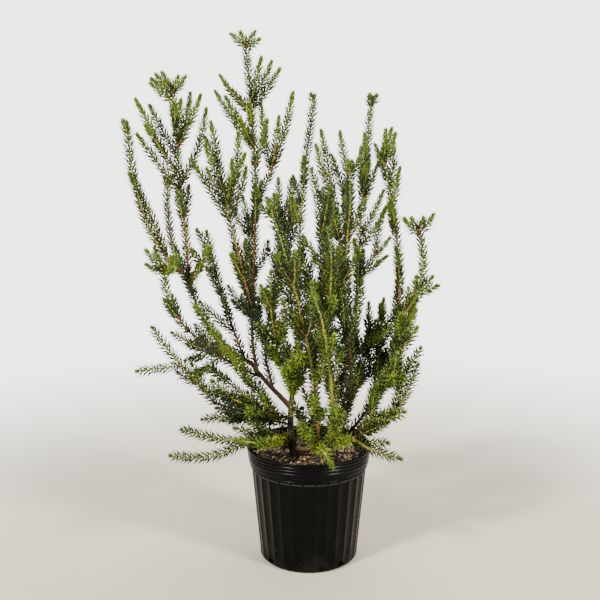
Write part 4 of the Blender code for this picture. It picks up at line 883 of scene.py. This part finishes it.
def bark(name, dark, light, grain, depth):
    """Bark with fine lengthwise cracks, small pale pores and lichen-like clouding."""
    paint = Paint(name, 0.8)
    cracks = paint.noise(grain, 6, 0.65, (1, 1, 0.22))
    clouds = paint.noise(55, 3, 0.5)
    pores = paint.spread(paint.cells(480, (1, 1, 0.7)), 0.12, 0.3, 1.0, 0.0)
    mask = paint.spread(cracks, 0.36, 0.66)
    wood = paint.blend(mask, dark, light)
    pale = tuple(min(1, value * 1.8 + 0.012) for value in light)
    color = paint.blend(pores * 0.5 + paint.spread(clouds, 0.55, 0.8) * 0.35, wood, pale)
    rough = 0.72 + cracks * 0.2
    normal = paint.bump(cracks - pores * 0.25, depth)
    return paint.finish(base_color=color, roughness=rough, normal=normal)


def leaf_green(name, dark, light):
    """Leaf colour with a slight drift from one place in the crown to the next."""
    paint = Paint(name, 0.5)
    paint.shader.inputs["Specular IOR Level"].default_value = 0.25
    drift = paint.spread(paint.noise(70, 2, 0.5), 0.32, 0.68)
    color = paint.blend(drift, dark, light)
    return paint.finish(base_color=color)


def crumb(name, dark, light):
    """One of the colours of the chips in the potting mix."""
    paint = Paint(name, 0.92)
    fibre = paint.noise(260, 4, 0.6, (1, 0.4, 1))
    color = paint.blend(paint.spread(fibre, 0.35, 0.65), dark, light)
    normal = paint.bump(fibre, 0.0006)
    return paint.finish(base_color=color, normal=normal)


def pale_floor():
    """A pale floor that fades into the plain backdrop some way from the pot."""
    paint = Paint("pale_floor", 0.85)
    color = paint.blend(paint.noise(3, 4, 0.6), (0.44, 0.395, 0.30), (0.51, 0.465, 0.365))
    paint.finish(base_color=color)
    distance = paint.add("ShaderNodeVectorMath", {"operation": "LENGTH"}, {0: paint.place()}, "Value")
    fade = paint.add("ShaderNodeMapRange", {"interpolation_type": "SMOOTHSTEP"},
                     {0: distance, 1: FLOOR_FADE[0], 2: FLOOR_FADE[1], 3: 0.0, 4: 1.0})
    glow = paint.add("ShaderNodeEmission", None, {"Color": BACKDROP_COLOR, "Strength": BACKDROP})
    floor = Value(paint, paint.shader.outputs[0])
    mixed = paint.add("ShaderNodeMixShader", None, {0: fade, 1: floor, 2: glow})
    paint.feed(paint.tree.nodes["Material Output"].inputs["Surface"], mixed)
    return paint.material


def clear_selection():
    bpy.ops.object.select_all(action="DESELECT")


def make_active(item):
    clear_selection()
    item.select_set(True)
    bpy.context.view_layer.objects.active = item


def apply_all(item):
    """Apply the item's modifiers in order."""
    make_active(item)
    for modifier in list(item.modifiers):
        bpy.ops.object.modifier_apply(modifier=modifier.name)


def settle(piece, slot, *nodes):
    """Attach a finished piece to the root body, and hide the parts it stands for; the slot is not used."""
    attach(piece, "root")
    if nodes:
        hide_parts(*nodes)


class Batch:
    """Gathers many small shapes of one form and joins them in one mesh."""

    def __init__(self):
        self.points = []
        self.faces = []
        self.kinds = []
        self.count = 0

    def add(self, points, faces, kind=0):
        """Points is an array of places; faces is an array of rows of corners."""
        self.points.append(points.reshape(-1, 3))
        self.faces.append(faces + self.count)
        self.kinds.append(np.full(len(faces), kind, dtype=np.int32))
        self.count += len(self.points[-1])

    def triangles(self):
        return sum(len(faces) * (faces.shape[1] - 2) for faces in self.faces)

    def make(self, name, materials):
        mesh = bpy.data.meshes.new(name)
        points = np.concatenate(self.points)
        corners = np.concatenate([faces.ravel() for faces in self.faces])
        sides = np.concatenate([np.full(len(faces), faces.shape[1]) for faces in self.faces])
        starts = np.concatenate([[0], np.cumsum(sides)[:-1]])
        mesh.vertices.add(len(points))
        mesh.vertices.foreach_set("co", points.astype(np.float32).ravel())
        mesh.loops.add(len(corners))
        mesh.loops.foreach_set("vertex_index", corners.astype(np.int32))
        mesh.polygons.add(len(sides))
        mesh.polygons.foreach_set("loop_start", starts.astype(np.int32))
        for material in materials:
            mesh.materials.append(material)
        mesh.polygons.foreach_set("material_index", np.concatenate(self.kinds))
        mesh.update(calc_edges=True)
        mesh.validate()
        piece = bpy.data.objects.new(name, mesh)
        bpy.context.scene.collection.objects.link(piece)
        return piece


def smooth_route(points, radii, step):
    """Places and radii at even steps on a smooth curve through the route's points."""
    places = np.array([tuple(point) for point in points])
    widths = np.array(radii)
    ends = np.vstack([2 * places[0] - places[1], places, 2 * places[-1] - places[-2]])
    fine = []
    fine_widths = []
    shares = np.linspace(0, 1, 9)[:-1]
    for index in range(len(places) - 1):
        a, b, c, d = ends[index:index + 4]
        for t in shares:
            fine.append(0.5 * (2 * b + (c - a) * t + (2 * a - 5 * b + 4 * c - d) * t ** 2
                               + (3 * b - a - 3 * c + d) * t ** 3))
            fine_widths.append(widths[index] + (widths[index + 1] - widths[index]) * t)
    fine.append(places[-1])
    fine_widths.append(widths[-1])
    fine = np.array(fine)
    steps = np.linalg.norm(np.diff(fine, axis=0), axis=1)
    along = np.concatenate([[0], np.cumsum(steps)])
    count = max(3, int(round(along[-1] / step)) + 1)
    wanted = np.linspace(0, along[-1], count)
    places = np.stack([np.interp(wanted, along, fine[:, axis]) for axis in range(3)], 1)
    return places, np.interp(wanted, along, fine_widths), wanted


def frames_along(places):
    """Direction, and two directions square to it, at each place of a route."""
    headings = np.gradient(places, axis=0)
    headings /= np.linalg.norm(headings, axis=1, keepdims=True)
    mean = np.abs(headings.mean(0))
    guide = np.zeros(3)
    guide[int(np.argmin(mean))] = 1
    first = guide - (headings @ guide)[:, None] * headings
    first /= np.linalg.norm(first, axis=1, keepdims=True)
    second = np.cross(headings, first)
    return headings, first, second


def add_tube(batch, places, radii, sides, kind=0):
    """A closed tube along the places, with a point at each end."""
    headings, first, second = frames_along(places)
    turns = np.linspace(0, 2 * math.pi, sides, endpoint=False)
    ring = first[:, None] * np.cos(turns)[None, :, None] + second[:, None] * np.sin(turns)[None, :, None]
    skin = places[:, None] + ring * radii[:, None, None]
    count = len(places)
    lower = np.arange(count - 1)[:, None] * sides + np.arange(sides)[None]
    next_side = np.arange(count - 1)[:, None] * sides + (np.arange(sides) + 1)[None] % sides
    quads = np.stack([lower, next_side, next_side + sides, lower + sides], -1).reshape(-1, 4)
    ends = np.stack([places[0] - headings[0] * radii[0] * 0.5, places[-1] + headings[-1] * radii[-1] * 0.8])
    base = batch.count
    kinds = np.broadcast_to(kind, count - 1)
    batch.add(np.concatenate([skin.reshape(-1, 3), ends]), quads, np.repeat(kinds, sides))
    spin = np.arange(sides)
    foot = np.stack([np.full(sides, count * sides), (spin + 1) % sides, spin], -1)
    last = (count - 1) * sides
    cap = np.stack([np.full(sides, count * sides + 1), last + spin, last + (spin + 1) % sides], -1)
    batch.faces += [foot + base, cap + base]
    batch.kinds += [np.full(sides, kinds[0], dtype=np.int32), np.full(sides, kinds[-1], dtype=np.int32)]


def build_camera():
    data = bpy.data.cameras.new("camera")
    camera = bpy.data.objects.new("camera", data)
    bpy.context.scene.collection.objects.link(camera)
    camera.location = CAMERA_PLACE
    camera.rotation_euler = (math.radians(90 - CAMERA_DOWN), 0, 0)
    data.lens = CAMERA_LENS
    data.sensor_width = 36
    data.clip_end = 60
    bpy.context.scene.camera = camera


def arc(center, radius, first, last, steps):
    """Places on an arc in the profile's plane, by turns in degrees from straight out."""
    places = []
    for step in range(steps + 1):
        turn = math.radians(first + (last - first) * step / steps)
        places.append((center[0] + radius * math.cos(turn), center[1] + radius * math.sin(turn)))
    return places


def pot_profile():
    """The pot's section from the axis inside, over the rim and down to the axis underneath."""
    roll = 2.2 * MM
    lip_foot = POT_HEIGHT - LIP_DEPTH
    lip_slope = (RIM_RADIUS - LIP_FOOT_RADIUS) / LIP_DEPTH
    profile = [(0, FLOOR_THICKNESS)]
    profile.append((inner_radius(FLOOR_THICKNESS) - FOOT_CHAMFER * 0.7, FLOOR_THICKNESS))
    profile.append((inner_radius(WALL_FOOT_HEIGHT), WALL_FOOT_HEIGHT))
    profile.append((inner_radius(COLLAR_FOOT_HEIGHT), COLLAR_FOOT_HEIGHT))
    top_inner = inner_radius(POT_HEIGHT)
    profile.append((inner_radius(MIX_TOP), MIX_TOP))
    profile += arc((top_inner + 1.3 * MM, POT_HEIGHT - 1.3 * MM), 1.3 * MM, 180, 90, 4)
    profile += arc((RIM_RADIUS - roll, POT_HEIGHT - roll), roll, 90, -25, 6)
    for ridge in (8.5 * MM, 15 * MM, 21.5 * MM):
        height = POT_HEIGHT - ridge
        radius = RIM_RADIUS - ridge * lip_slope - 1.1 * MM
        profile.append((radius, height + 2.6 * MM))
        profile += arc((radius, height), 1.1 * MM, 60, -60, 4)
        profile.append((radius - 0.15 * MM, height - 2.6 * MM))
    profile += arc((LIP_FOOT_RADIUS - 1.2 * MM, lip_foot + 1.2 * MM), 1.2 * MM, 20, -90, 4)
    profile.append((COLLAR_TOP_RADIUS + 0.4 * MM, lip_foot + 0.2 * MM))
    profile.append((COLLAR_TOP_RADIUS, lip_foot - 1.5 * MM))
    bead = COLLAR_FOOT_HEIGHT + 2.6 * MM
    profile.append((COLLAR_FOOT_RADIUS + 0.1 * MM, bead + 1.3 * MM))
    profile += arc((COLLAR_FOOT_RADIUS, bead), 0.9 * MM, 65, -65, 4)
    profile.append((COLLAR_FOOT_RADIUS, bead - 1.3 * MM))
    profile += arc((COLLAR_FOOT_RADIUS - 0.6 * MM, COLLAR_FOOT_HEIGHT + 0.6 * MM), 0.6 * MM, 10, -90, 3)
    wall_top = COLLAR_FOOT_HEIGHT - 2 * MM
    profile.append((wall_radius(wall_top), wall_top + 1.4 * MM))
    steps = 6
    for step in range(steps + 1):
        height = wall_top + (WALL_FOOT_HEIGHT - wall_top) * step / steps
        profile.append((wall_radius(height), height))
    profile += arc((WALL_FOOT_RADIUS - FOOT_CHAMFER, FOOT_CHAMFER * 1.1), FOOT_CHAMFER * 0.98, -12, -78, 5)
    profile.append((WALL_FOOT_RADIUS - FOOT_CHAMFER - 1.5 * MM, 0))
    profile.append((0, 0))
    return profile


def build_pot(material):
    """Draw the section by extruding one corner, spin it, sink the flutes and cut the drain holes."""
    clear_selection()
    profile = pot_profile()
    bpy.ops.mesh.primitive_plane_add(size=MM, location=(0, 0, 0))
    pot = bpy.context.object
    pot.name = "fluted_pot"
    bpy.ops.object.mode_set(mode="EDIT")
    bpy.ops.mesh.merge(type="CENTER")
    bpy.ops.transform.translate(value=(profile[0][0], 0, profile[0][1]))
    for (radius, height), (next_radius, next_height) in zip(profile, profile[1:]):
        move = (next_radius - radius, 0, next_height - height)
        bpy.ops.mesh.extrude_region_move(TRANSFORM_OT_translate={"value": move})
    bpy.ops.mesh.select_all(action="SELECT")
    columns = FLUTES * FLUTE_COLUMNS
    bpy.ops.mesh.spin(steps=columns, angle=2 * math.pi, center=(0, 0, 0), axis=(0, 0, 1))
    bpy.ops.mesh.select_all(action="SELECT")
    bpy.ops.mesh.remove_doubles(threshold=0.01 * MM)
    bpy.ops.mesh.normals_make_consistent(inside=False)
    sink_flutes(pot, columns)
    bpy.ops.object.mode_set(mode="OBJECT")
    cut_drain_holes(pot)
    pot.data.materials.clear()
    pot.data.materials.append(material)
    make_active(pot)
    bpy.ops.object.shade_smooth_by_angle(angle=math.radians(32))
    settle(pot, "pot", "pot")


def sink_flutes(pot, columns):
    """Scale each group of wall columns towards the axis, which leaves a crest at every flute."""
    wall_top = COLLAR_FOOT_HEIGHT - 0.3 * MM
    for phase in range(1, FLUTE_COLUMNS // 2 + 1):
        bpy.ops.mesh.select_all(action="DESELECT")
        shape = bmesh.from_edit_mesh(pot.data)
        for vertex in shape.verts:
            radius = math.hypot(vertex.co.x, vertex.co.y)
            on_wall = WALL_FOOT_HEIGHT - 0.1 * MM < vertex.co.z < wall_top
            if not on_wall or radius < wall_radius(vertex.co.z) - MM:
                continue
            column = round(math.atan2(vertex.co.y, vertex.co.x) / (2 * math.pi) * columns) % FLUTE_COLUMNS
            if min(column, FLUTE_COLUMNS - column) == phase:
                vertex.select = True
        shape.select_flush_mode()
        bmesh.update_edit_mesh(pot.data)
        depth = FLUTE_DEPTH * math.sin(math.pi * phase / FLUTE_COLUMNS) ** 0.8
        share = 1 - depth / wall_radius((WALL_FOOT_HEIGHT + wall_top) / 2)
        bpy.ops.transform.resize(value=(share, share, 1), center_override=(0, 0, 0))


def cut_drain_holes(pot):
    """Cut rounded slots through the bottom corner with one joined cutter."""
    cutters = []
    for index in range(DRAIN_HOLES):
        turn = DRAIN_FIRST_TURN + index * 2 * math.pi / DRAIN_HOLES
        radius = WALL_FOOT_RADIUS - 2 * MM
        clear_selection()
        bpy.ops.mesh.primitive_cube_add(size=1, location=(radius * math.cos(turn), radius * math.sin(turn), 10 * MM))
        cutter = bpy.context.object
        cutter.scale = (24 * MM, DRAIN_WIDTH, DRAIN_HEIGHT)
        cutter.rotation_euler.z = turn
        bpy.ops.object.transform_apply(location=True, rotation=True, scale=True)
        rounding = cutter.modifiers.new("rounding", "BEVEL")
        rounding.width = 2 * MM
        rounding.segments = 3
        apply_all(cutter)
        cutters.append(cutter)
    clear_selection()
    for cutter in cutters:
        cutter.select_set(True)
    bpy.context.view_layer.objects.active = cutters[0]
    bpy.ops.object.join()
    holes = bpy.context.object
    cut = pot.modifiers.new("drain", "BOOLEAN")
    cut.operation = "DIFFERENCE"
    cut.object = holes
    apply_all(pot)
    bpy.data.objects.remove(holes, do_unlink=True)


def build_mix(materials):
    """A lumpy disc of potting mix, with loose chips on it."""
    chance = random.Random(11)
    clear_selection()
    radius = inner_radius(MIX_TOP - 2 * MM) - 0.6 * MM
    bpy.ops.mesh.primitive_cylinder_add(vertices=72, radius=radius, depth=20 * MM, location=(0, 0, MIX_TOP - 11 * MM))
    bed = bpy.context.object
    bed.name = "potting_mix_bed"
    bpy.ops.object.transform_apply(location=True, rotation=True, scale=True)
    bpy.ops.object.mode_set(mode="EDIT")
    bpy.ops.mesh.select_all(action="DESELECT")
    shape = bmesh.from_edit_mesh(bed.data)
    for face in shape.faces:
        face.select = face.normal.z > 0.9
    bmesh.update_edit_mesh(bed.data)
    for ring in range(14):
        bpy.ops.mesh.inset(thickness=radius / 15, use_even_offset=True)
    bpy.ops.mesh.poke()
    bpy.ops.object.mode_set(mode="OBJECT")
    for vertex in bed.data.vertices:
        if vertex.co.z > MIX_TOP - 2 * MM and math.hypot(vertex.co.x, vertex.co.y) < radius - MM:
            vertex.co.z += chance.uniform(-1.6, 1.2) * MM
    # The bed takes the near-black crumb colour, as painted shade in the gaps between the chips.
    bed.data.materials.append(materials[1])
    settle(bed, "potting_mix", "potting_mix")
    batch = Batch()
    box = np.array([(x, y, z) for x in (-1, 1) for y in (-1, 1) for z in (-1, 1)], dtype=float)
    faces = np.array([(0, 1, 3, 2), (4, 6, 7, 5), (0, 4, 5, 1), (2, 3, 7, 6), (0, 2, 6, 4), (1, 5, 7, 3)])
    draw = np.random.default_rng(5)
    for index in range(CHIPS):
        size = draw.uniform(*CHIP_SIZE) * MM * np.array([1, draw.uniform(0.35, 0.9), draw.uniform(0.2, 0.5)])
        chip = box * draw.uniform(0.55, 1, (8, 3)) * size * 0.5
        turn = draw.uniform(0, 2 * math.pi)
        tilt = draw.normal(0, 0.7)
        spun = chip @ turn_matrix(tilt, 0) @ turn_matrix(turn, 2)
        distance = (radius - 3 * MM) * math.sqrt(draw.uniform(0, 1))
        where = draw.uniform(0, 2 * math.pi)
        place = (distance * math.cos(where), distance * math.sin(where), MIX_TOP + draw.uniform(-1, 1.6) * MM)
        batch.add(spun + place, faces, int(draw.choice(len(materials), p=(0.32, 0.26, 0.18, 0.24))))
    chips = batch.make("bark_chips", materials)
    settle(chips, "potting_mix", "potting_mix")


def turn_matrix(turn, axis):
    cosine, sine = math.cos(turn), math.sin(turn)
    matrix = np.eye(3)
    first, second = [index for index in range(3) if index != axis]
    matrix[first, first] = matrix[second, second] = cosine
    matrix[first, second], matrix[second, first] = sine, -sine
    return matrix


def build_limb(name, points, radii, material):
    """A limb with swollen forks and a relief of ridges, as one closed bark mesh."""
    sides = 20
    step = 2.2 * MM
    places, widths, along = smooth_route(points, radii, step)
    if name != "trunk":
        widths = widths * (1 + 0.35 * np.exp(-along / (9 * MM)))
    else:
        places[:, 2] = np.maximum(places[:, 2], MIX_TOP - MM)
    batch = Batch()
    add_tube(batch, places, widths, sides)
    limb = batch.make(name + "_bark", [material])
    ridges = bpy.data.textures.new(name + "_ridges", "CLOUDS")
    ridges.noise_scale = 0.006
    ridges.noise_depth = 2
    relief = limb.modifiers.new("relief", "DISPLACE")
    relief.texture = ridges
    relief.texture_coords = "LOCAL"
    relief.mid_level = 0.5
    relief.strength = 0.22 * float(widths.mean())
    apply_all(limb)
    bpy.ops.object.shade_smooth()
    settle(limb, name, name)


def needle_rows(points, radii, young, bare, chance):
    """Where the needles of a shoot stand: foot places, three directions each, and their ages."""
    places, widths, along = smooth_route(points, radii, 3 * MM)
    headings, first, second = frames_along(places)
    total = along[-1]
    spots = []
    spot = bare
    while spot < total:
        spots += [spot + chance.uniform(-0.3, 0.3) * MM for needle in range(WHORL_NEEDLES)]
        age = min(1, (total - spot) / max(young, MM))
        spot += between(NEEDLE_WHORL_PITCH, age) * MM * chance.uniform(0.9, 1.1)
    tuft = TUFT_NEEDLES
    spots += [total - chance.uniform(0, 1.5) * MM for needle in range(tuft)]
    spots = np.array(spots)
    ages = (total - spots) / max(young, MM)
    base, heading, out, other = [
        np.stack([np.interp(spots, along, table[:, axis]) for axis in range(3)], 1)
        for table in (places, headings, first, second)]
    numbers = np.arange(len(spots))
    turns = numbers * 2 * math.pi / WHORL_NEEDLES + numbers // WHORL_NEEDLES * WHORL_TURN
    turns += chance.uniform(0, 2 * math.pi)
    turns += np.array([chance.uniform(-0.15, 0.15) for spot in spots])
    out = out * np.cos(turns)[:, None] + other * np.sin(turns)[:, None]
    side = np.cross(heading, out)
    width = np.interp(spots, along, widths)
    return base + out * (width * 0.6)[:, None], heading, out, side, ages, tuft


def needles_of(points, radii, young, bare, old_lean, chance):
    """The corners of a shoot's needles, five to each, and each one's age."""
    base, heading, out, side, ages, tuft = needle_rows(points, radii, young, bare, chance)
    count = len(base)
    draw = np.random.default_rng(chance.randrange(1 << 30))
    grown = np.clip(ages, 0, 1)
    lean = between((NEEDLE_LEAN[0], old_lean), grown ** NEEDLE_OPENING) + draw.normal(0, 3.5, count)
    if tuft:
        lean[-tuft:] = draw.uniform(3, TUFT_LEAN, tuft)
    lean = np.radians(lean)
    length = between(NEEDLE_LENGTH, grown ** 0.7) * draw.uniform(0.84, 1.1, count) * MM
    if tuft:
        length[-tuft:] *= 0.85
    along = heading * np.cos(lean)[:, None] + out * np.sin(lean)[:, None]
    top = heading * np.sin(lean)[:, None] - out * np.cos(lean)[:, None]
    width = (between(NEEDLE_WIDTH, grown) * MM * draw.uniform(0.85, 1.15, count))[:, None]
    tip = base + along * length[:, None]
    middle = base + along * length[:, None] * NEEDLE_WIDEST
    keel = middle - top * between(NEEDLE_THICKNESS, grown)[:, None] * MM
    corners = [base, middle - side * width / 2, middle + side * width / 2, keel, tip]
    return np.stack(corners, 1), ages


NEEDLE_CORNERS = 5
NEEDLE_TOP = np.array([(0, 2, 1), (1, 2, 4)])
NEEDLE_UNDERSIDE = np.array([(0, 1, 3), (0, 3, 2), (1, 4, 3), (2, 3, 4)])
NEEDLE_TRIANGLES = len(NEEDLE_TOP) + len(NEEDLE_UNDERSIDE)


def add_needles(batch, corners):
    """Add needles to a batch, with their undersides as the second kind, which takes a darker finish as painted shade.
    """
    offsets = (np.arange(len(corners)) * NEEDLE_CORNERS)[:, None, None]
    top = (NEEDLE_TOP[None] + offsets).reshape(-1, 3)
    painted_shade_under = (NEEDLE_UNDERSIDE[None] + offsets).reshape(-1, 3)
    start = batch.count
    batch.add(corners, top, 0)
    batch.faces.append(painted_shade_under + start)
    batch.kinds.append(np.full(len(painted_shade_under), 1, dtype=np.int32))


# Old needle tones: shade is a painted-shade copy and olive a painted-light copy of forest green; the shares are for a
# needle stepping one tone darker, staying, or stepping one tone lighter.
TONES = ("shade", "forest", "olive")
PAINTED_SHADE_LIGHT_STEP_SHARES = (0.3, 0.45, 0.25)
SHADED_RADIUS = 180 * MM
OVER_RIM = 340 * MM


def painted_shade_and_light_tone(place, chance):
    """Which green a spray's old needles get: darker low down in the middle as painted shade, lighter outside as
    painted light.
    """
    inside = max(0, 1 - math.hypot(place[0], place[1]) / SHADED_RADIUS)
    below = min(1, max(0, (OVER_RIM - place[2]) / (OVER_RIM - MIX_TOP)))
    dark = max(density(place[2]) * inside, below)
    weights = (0.05 + 0.5 * dark, 0.45, 0.5 - 0.3 * dark)
    return chance.choices(TONES, weights)[0]


class Greenery:
    """Collects twigs and needles, and joins them by kind and colour."""

    def __init__(self):
        # Shade and olive are darker and lighter copies of forest green, as painted shade and painted light; spring
        # and fresh are the young growth's own greens.
        self.tops = {
            "shade": leaf_green("needle_shade", (0.018, 0.032, 0.002), (0.038, 0.060, 0.004)),
            "forest": leaf_green("needle_forest", (0.054, 0.096, 0.003), (0.118, 0.178, 0.008)),
            "olive": leaf_green("needle_olive", (0.128, 0.190, 0.006), (0.245, 0.310, 0.014)),
            "spring": leaf_green("needle_spring", (0.090, 0.158, 0.003), (0.165, 0.240, 0.008)),
            "fresh": leaf_green("needle_fresh", (0.220, 0.335, 0.003), (0.390, 0.500, 0.010))}
        # The undersides are painted darker than the tops as painted shade, the old ones near-black.
        painted_shade_under = leaf_green("needle_underside", (0.006, 0.012, 0.002), (0.021, 0.034, 0.004))
        young = leaf_green("young_underside", (0.038, 0.070, 0.003), (0.076, 0.118, 0.006))
        fresher = ("spring", "fresh")
        self.painted_shade_undersides = {name: young if name in fresher else painted_shade_under for name in self.tops}
        self.batches = {name: [Batch()] for name in self.tops}
        self.twigs = Batch()

    def add(self, name, corners):
        if not len(corners):
            return
        if self.batches[name][-1].triangles() + len(corners) * NEEDLE_TRIANGLES > PIECE_LIMIT:
            self.batches[name].append(Batch())
        add_needles(self.batches[name][-1], corners)

    def clothe(self, points, radii, young, bare, low, chance):
        """Needles along a length of wood: a fresh end, then spring green, then one old tone, with single needles
        stepped darker or lighter as painted shade and painted light.
        """
        old_lean = between((NEEDLE_LEAN[1], NEEDLE_LEAN_LOW), low)
        corners, ages = needles_of(points, radii, max(young, 8 * MM), bare, old_lean, chance)
        fresh_end = chance.uniform(0.5, 0.8) if young > FRESH_LEAST else 0
        spring_end = fresh_end + chance.uniform(0.3, 0.9) * (1 - 0.7 * low) if young else 0
        fresh = ages < fresh_end
        spring = (ages < spring_end) & ~fresh
        self.add("fresh", corners[fresh])
        self.add("spring", corners[spring])
        tone = TONES.index(painted_shade_and_light_tone(points[-1], chance))
        old = corners[~fresh & ~spring]
        # Single old needles step one tone darker or lighter at random, as painted shade and painted light.
        draw = np.random.default_rng(chance.randrange(1 << 30))
        steps = draw.choice((-1, 0, 1), len(old), p=PAINTED_SHADE_LIGHT_STEP_SHARES)
        tones = np.clip(tone + steps, 0, len(TONES) - 1)
        for number, name in enumerate(TONES):
            self.add(name, old[tones == number])

    def make(self):
        masses = [foliage.name for foliage in FOLIAGE]
        woods = [
            bark("twig_brown", (0.13, 0.052, 0.016), (0.27, 0.12, 0.04), 260, 0.0004),
            bark("twig_orange", (0.30, 0.125, 0.025), (0.48, 0.23, 0.05), 260, 0.0003),
            bark("twig_gold", (0.27, 0.235, 0.03), (0.40, 0.36, 0.06), 260, 0.0002),
            bark("twig_green", (0.14, 0.19, 0.015), (0.24, 0.29, 0.035), 260, 0.0002)]
        piece = self.twigs.make("twigs", woods)
        make_active(piece)
        bpy.ops.object.shade_smooth()
        settle(piece, masses[0], *masses)
        for name, parts in self.batches.items():
            for number, batch in enumerate(parts):
                if batch.count:
                    finishes = [self.tops[name], self.painted_shade_undersides[name]]
                    piece = batch.make(f"needles_{name}_{number + 1}", finishes)
                    settle(piece, masses[0], *masses)


def wood_kinds(shoot, along, chance):
    """Which wood each stretch of a shoot shows: browner at the foot of a stem, greener at the tips."""
    stages = WOOD_STAGES[shoot.order]
    ends = [stage * chance.uniform(0.8, 1.2) for stage in stages]
    shares = along[:-1] / along[-1]
    return np.sum([shares > end for end in ends], axis=0).astype(np.int32)


def build_greenery(plant):
    """Every twig and needle of the crown, and the needles on the slimmer boughs."""
    greenery = Greenery()
    headed = {foliage.name for foliage in FOLIAGE if any(leader[1] > HEAD_FROM for leader in foliage.leaders)}
    for index, shoot in enumerate(plant.shoots):
        chance = random.Random(f"needles {index}")
        places, widths, along = smooth_route(shoot.points, shoot.radii, 6 * MM)
        add_tube(greenery.twigs, places, widths * TWIG_FULLNESS[shoot.order], 5, wood_kinds(shoot, along, chance))
        young = YOUNG_ENDS.get(shoot.mass, YOUNG_END) * MM * chance.uniform(0.75, 1.25) * shoot.bright
        young = min(young, shoot.length() * 0.6)
        crowded = density(shoot.points[-1].z)
        if shoot.mass in headed and not shoot.order:
            young = 0
        if shoot.order:
            young *= 1 - 0.6 * crowded
        if shoot.order == 2:
            young *= chance.uniform(0.2, 0.8)
            if chance.random() < 0.8 * crowded:
                young = 0
        bare = 6 * MM if shoot.order else 0
        greenery.clothe(shoot.points, shoot.radii, young, bare, density(shoot.points[0].z), chance)
    for limb in BOUGHS:
        points, radii = plant.limbs[limb.name]
        chance = random.Random(f"needles {limb.name}")
        thick = sum(radius > BARE_RADIUS for radius in radii)
        bare = route_length(points) * thick / len(radii) + 8 * MM
        if bare < route_length(points):
            greenery.clothe(points, radii, 0, bare, density(points[0].z), chance)
    greenery.make()


def build_stage():
    bpy.ops.mesh.primitive_circle_add(vertices=96, radius=14, fill_type="NGON", location=(0, 0, 0))
    floor = bpy.context.object
    floor.name = "floor"
    floor.data.materials.append(pale_floor())


def soft_sun(name, place, power, angle, color):
    """A wide, even light from the direction of a place."""
    data = bpy.data.lights.new(name, "SUN")
    data.angle = math.radians(angle)
    data.energy = power
    data.color = color
    light = bpy.data.objects.new(name, data)
    bpy.context.scene.collection.objects.link(light)
    light.rotation_euler = Vector(place).to_track_quat("Z", "Y").to_euler()


def build_lights():
    world = bpy.context.scene.world or bpy.data.worlds.new("world")
    bpy.context.scene.world = world
    world.use_nodes = True
    nodes = world.node_tree.nodes
    links = world.node_tree.links
    light = nodes["Background"]
    light.inputs["Color"].default_value = (0.96, 0.97, 1, 1)
    light.inputs["Strength"].default_value = AMBIENT
    backdrop = nodes.new("ShaderNodeBackground")
    backdrop.inputs["Color"].default_value = (*BACKDROP_COLOR, 1)
    backdrop.inputs["Strength"].default_value = BACKDROP
    seen = nodes.new("ShaderNodeLightPath")
    choice = nodes.new("ShaderNodeMixShader")
    links.new(seen.outputs["Is Camera Ray"], choice.inputs[0])
    links.new(light.outputs[0], choice.inputs[1])
    links.new(backdrop.outputs[0], choice.inputs[2])
    links.new(choice.outputs[0], nodes["World Output"].inputs[0])
    soft_sun("key", (-1.2, -1.2, 1.5), 5.3, 8, (1, 0.985, 0.95))
    soft_sun("fill", (1.4, -1.1, 1.2), 5.0, 12, (1, 0.99, 0.97))
    soft_sun("top", (0.1, 0.4, 1), 2.6, 40, (1, 0.995, 0.98))


def main():
    build_camera()
    build_pot(nursery_plastic())
    build_mix([
        crumb("mix_brown", (0.060, 0.034, 0.013), (0.160, 0.095, 0.040)),
        # The near-black crumb also colours the bed under the chips, as painted shade in the gaps; some chips take it
        # as their own dark colour.
        crumb("mix_dark", (0.003, 0.002, 0.001), (0.014, 0.009, 0.005)),
        crumb("mix_red", (0.13, 0.055, 0.022), (0.25, 0.115, 0.045)),
        crumb("mix_tan", (0.30, 0.21, 0.085), (0.55, 0.42, 0.20))])
    plant = Plant()
    trunk_bark = bark("trunk_bark", (0.012, 0.007, 0.003), (0.055, 0.034, 0.016), 190, 0.0012)
    bough_bark = bark("bough_bark", (0.030, 0.013, 0.004), (0.105, 0.050, 0.016), 210, 0.0008)
    for name, (points, radii) in plant.limbs.items():
        build_limb(name, points, radii, trunk_bark if name == "trunk" else bough_bark)
    build_greenery(plant)
    build_stage()
    build_lights()


main()
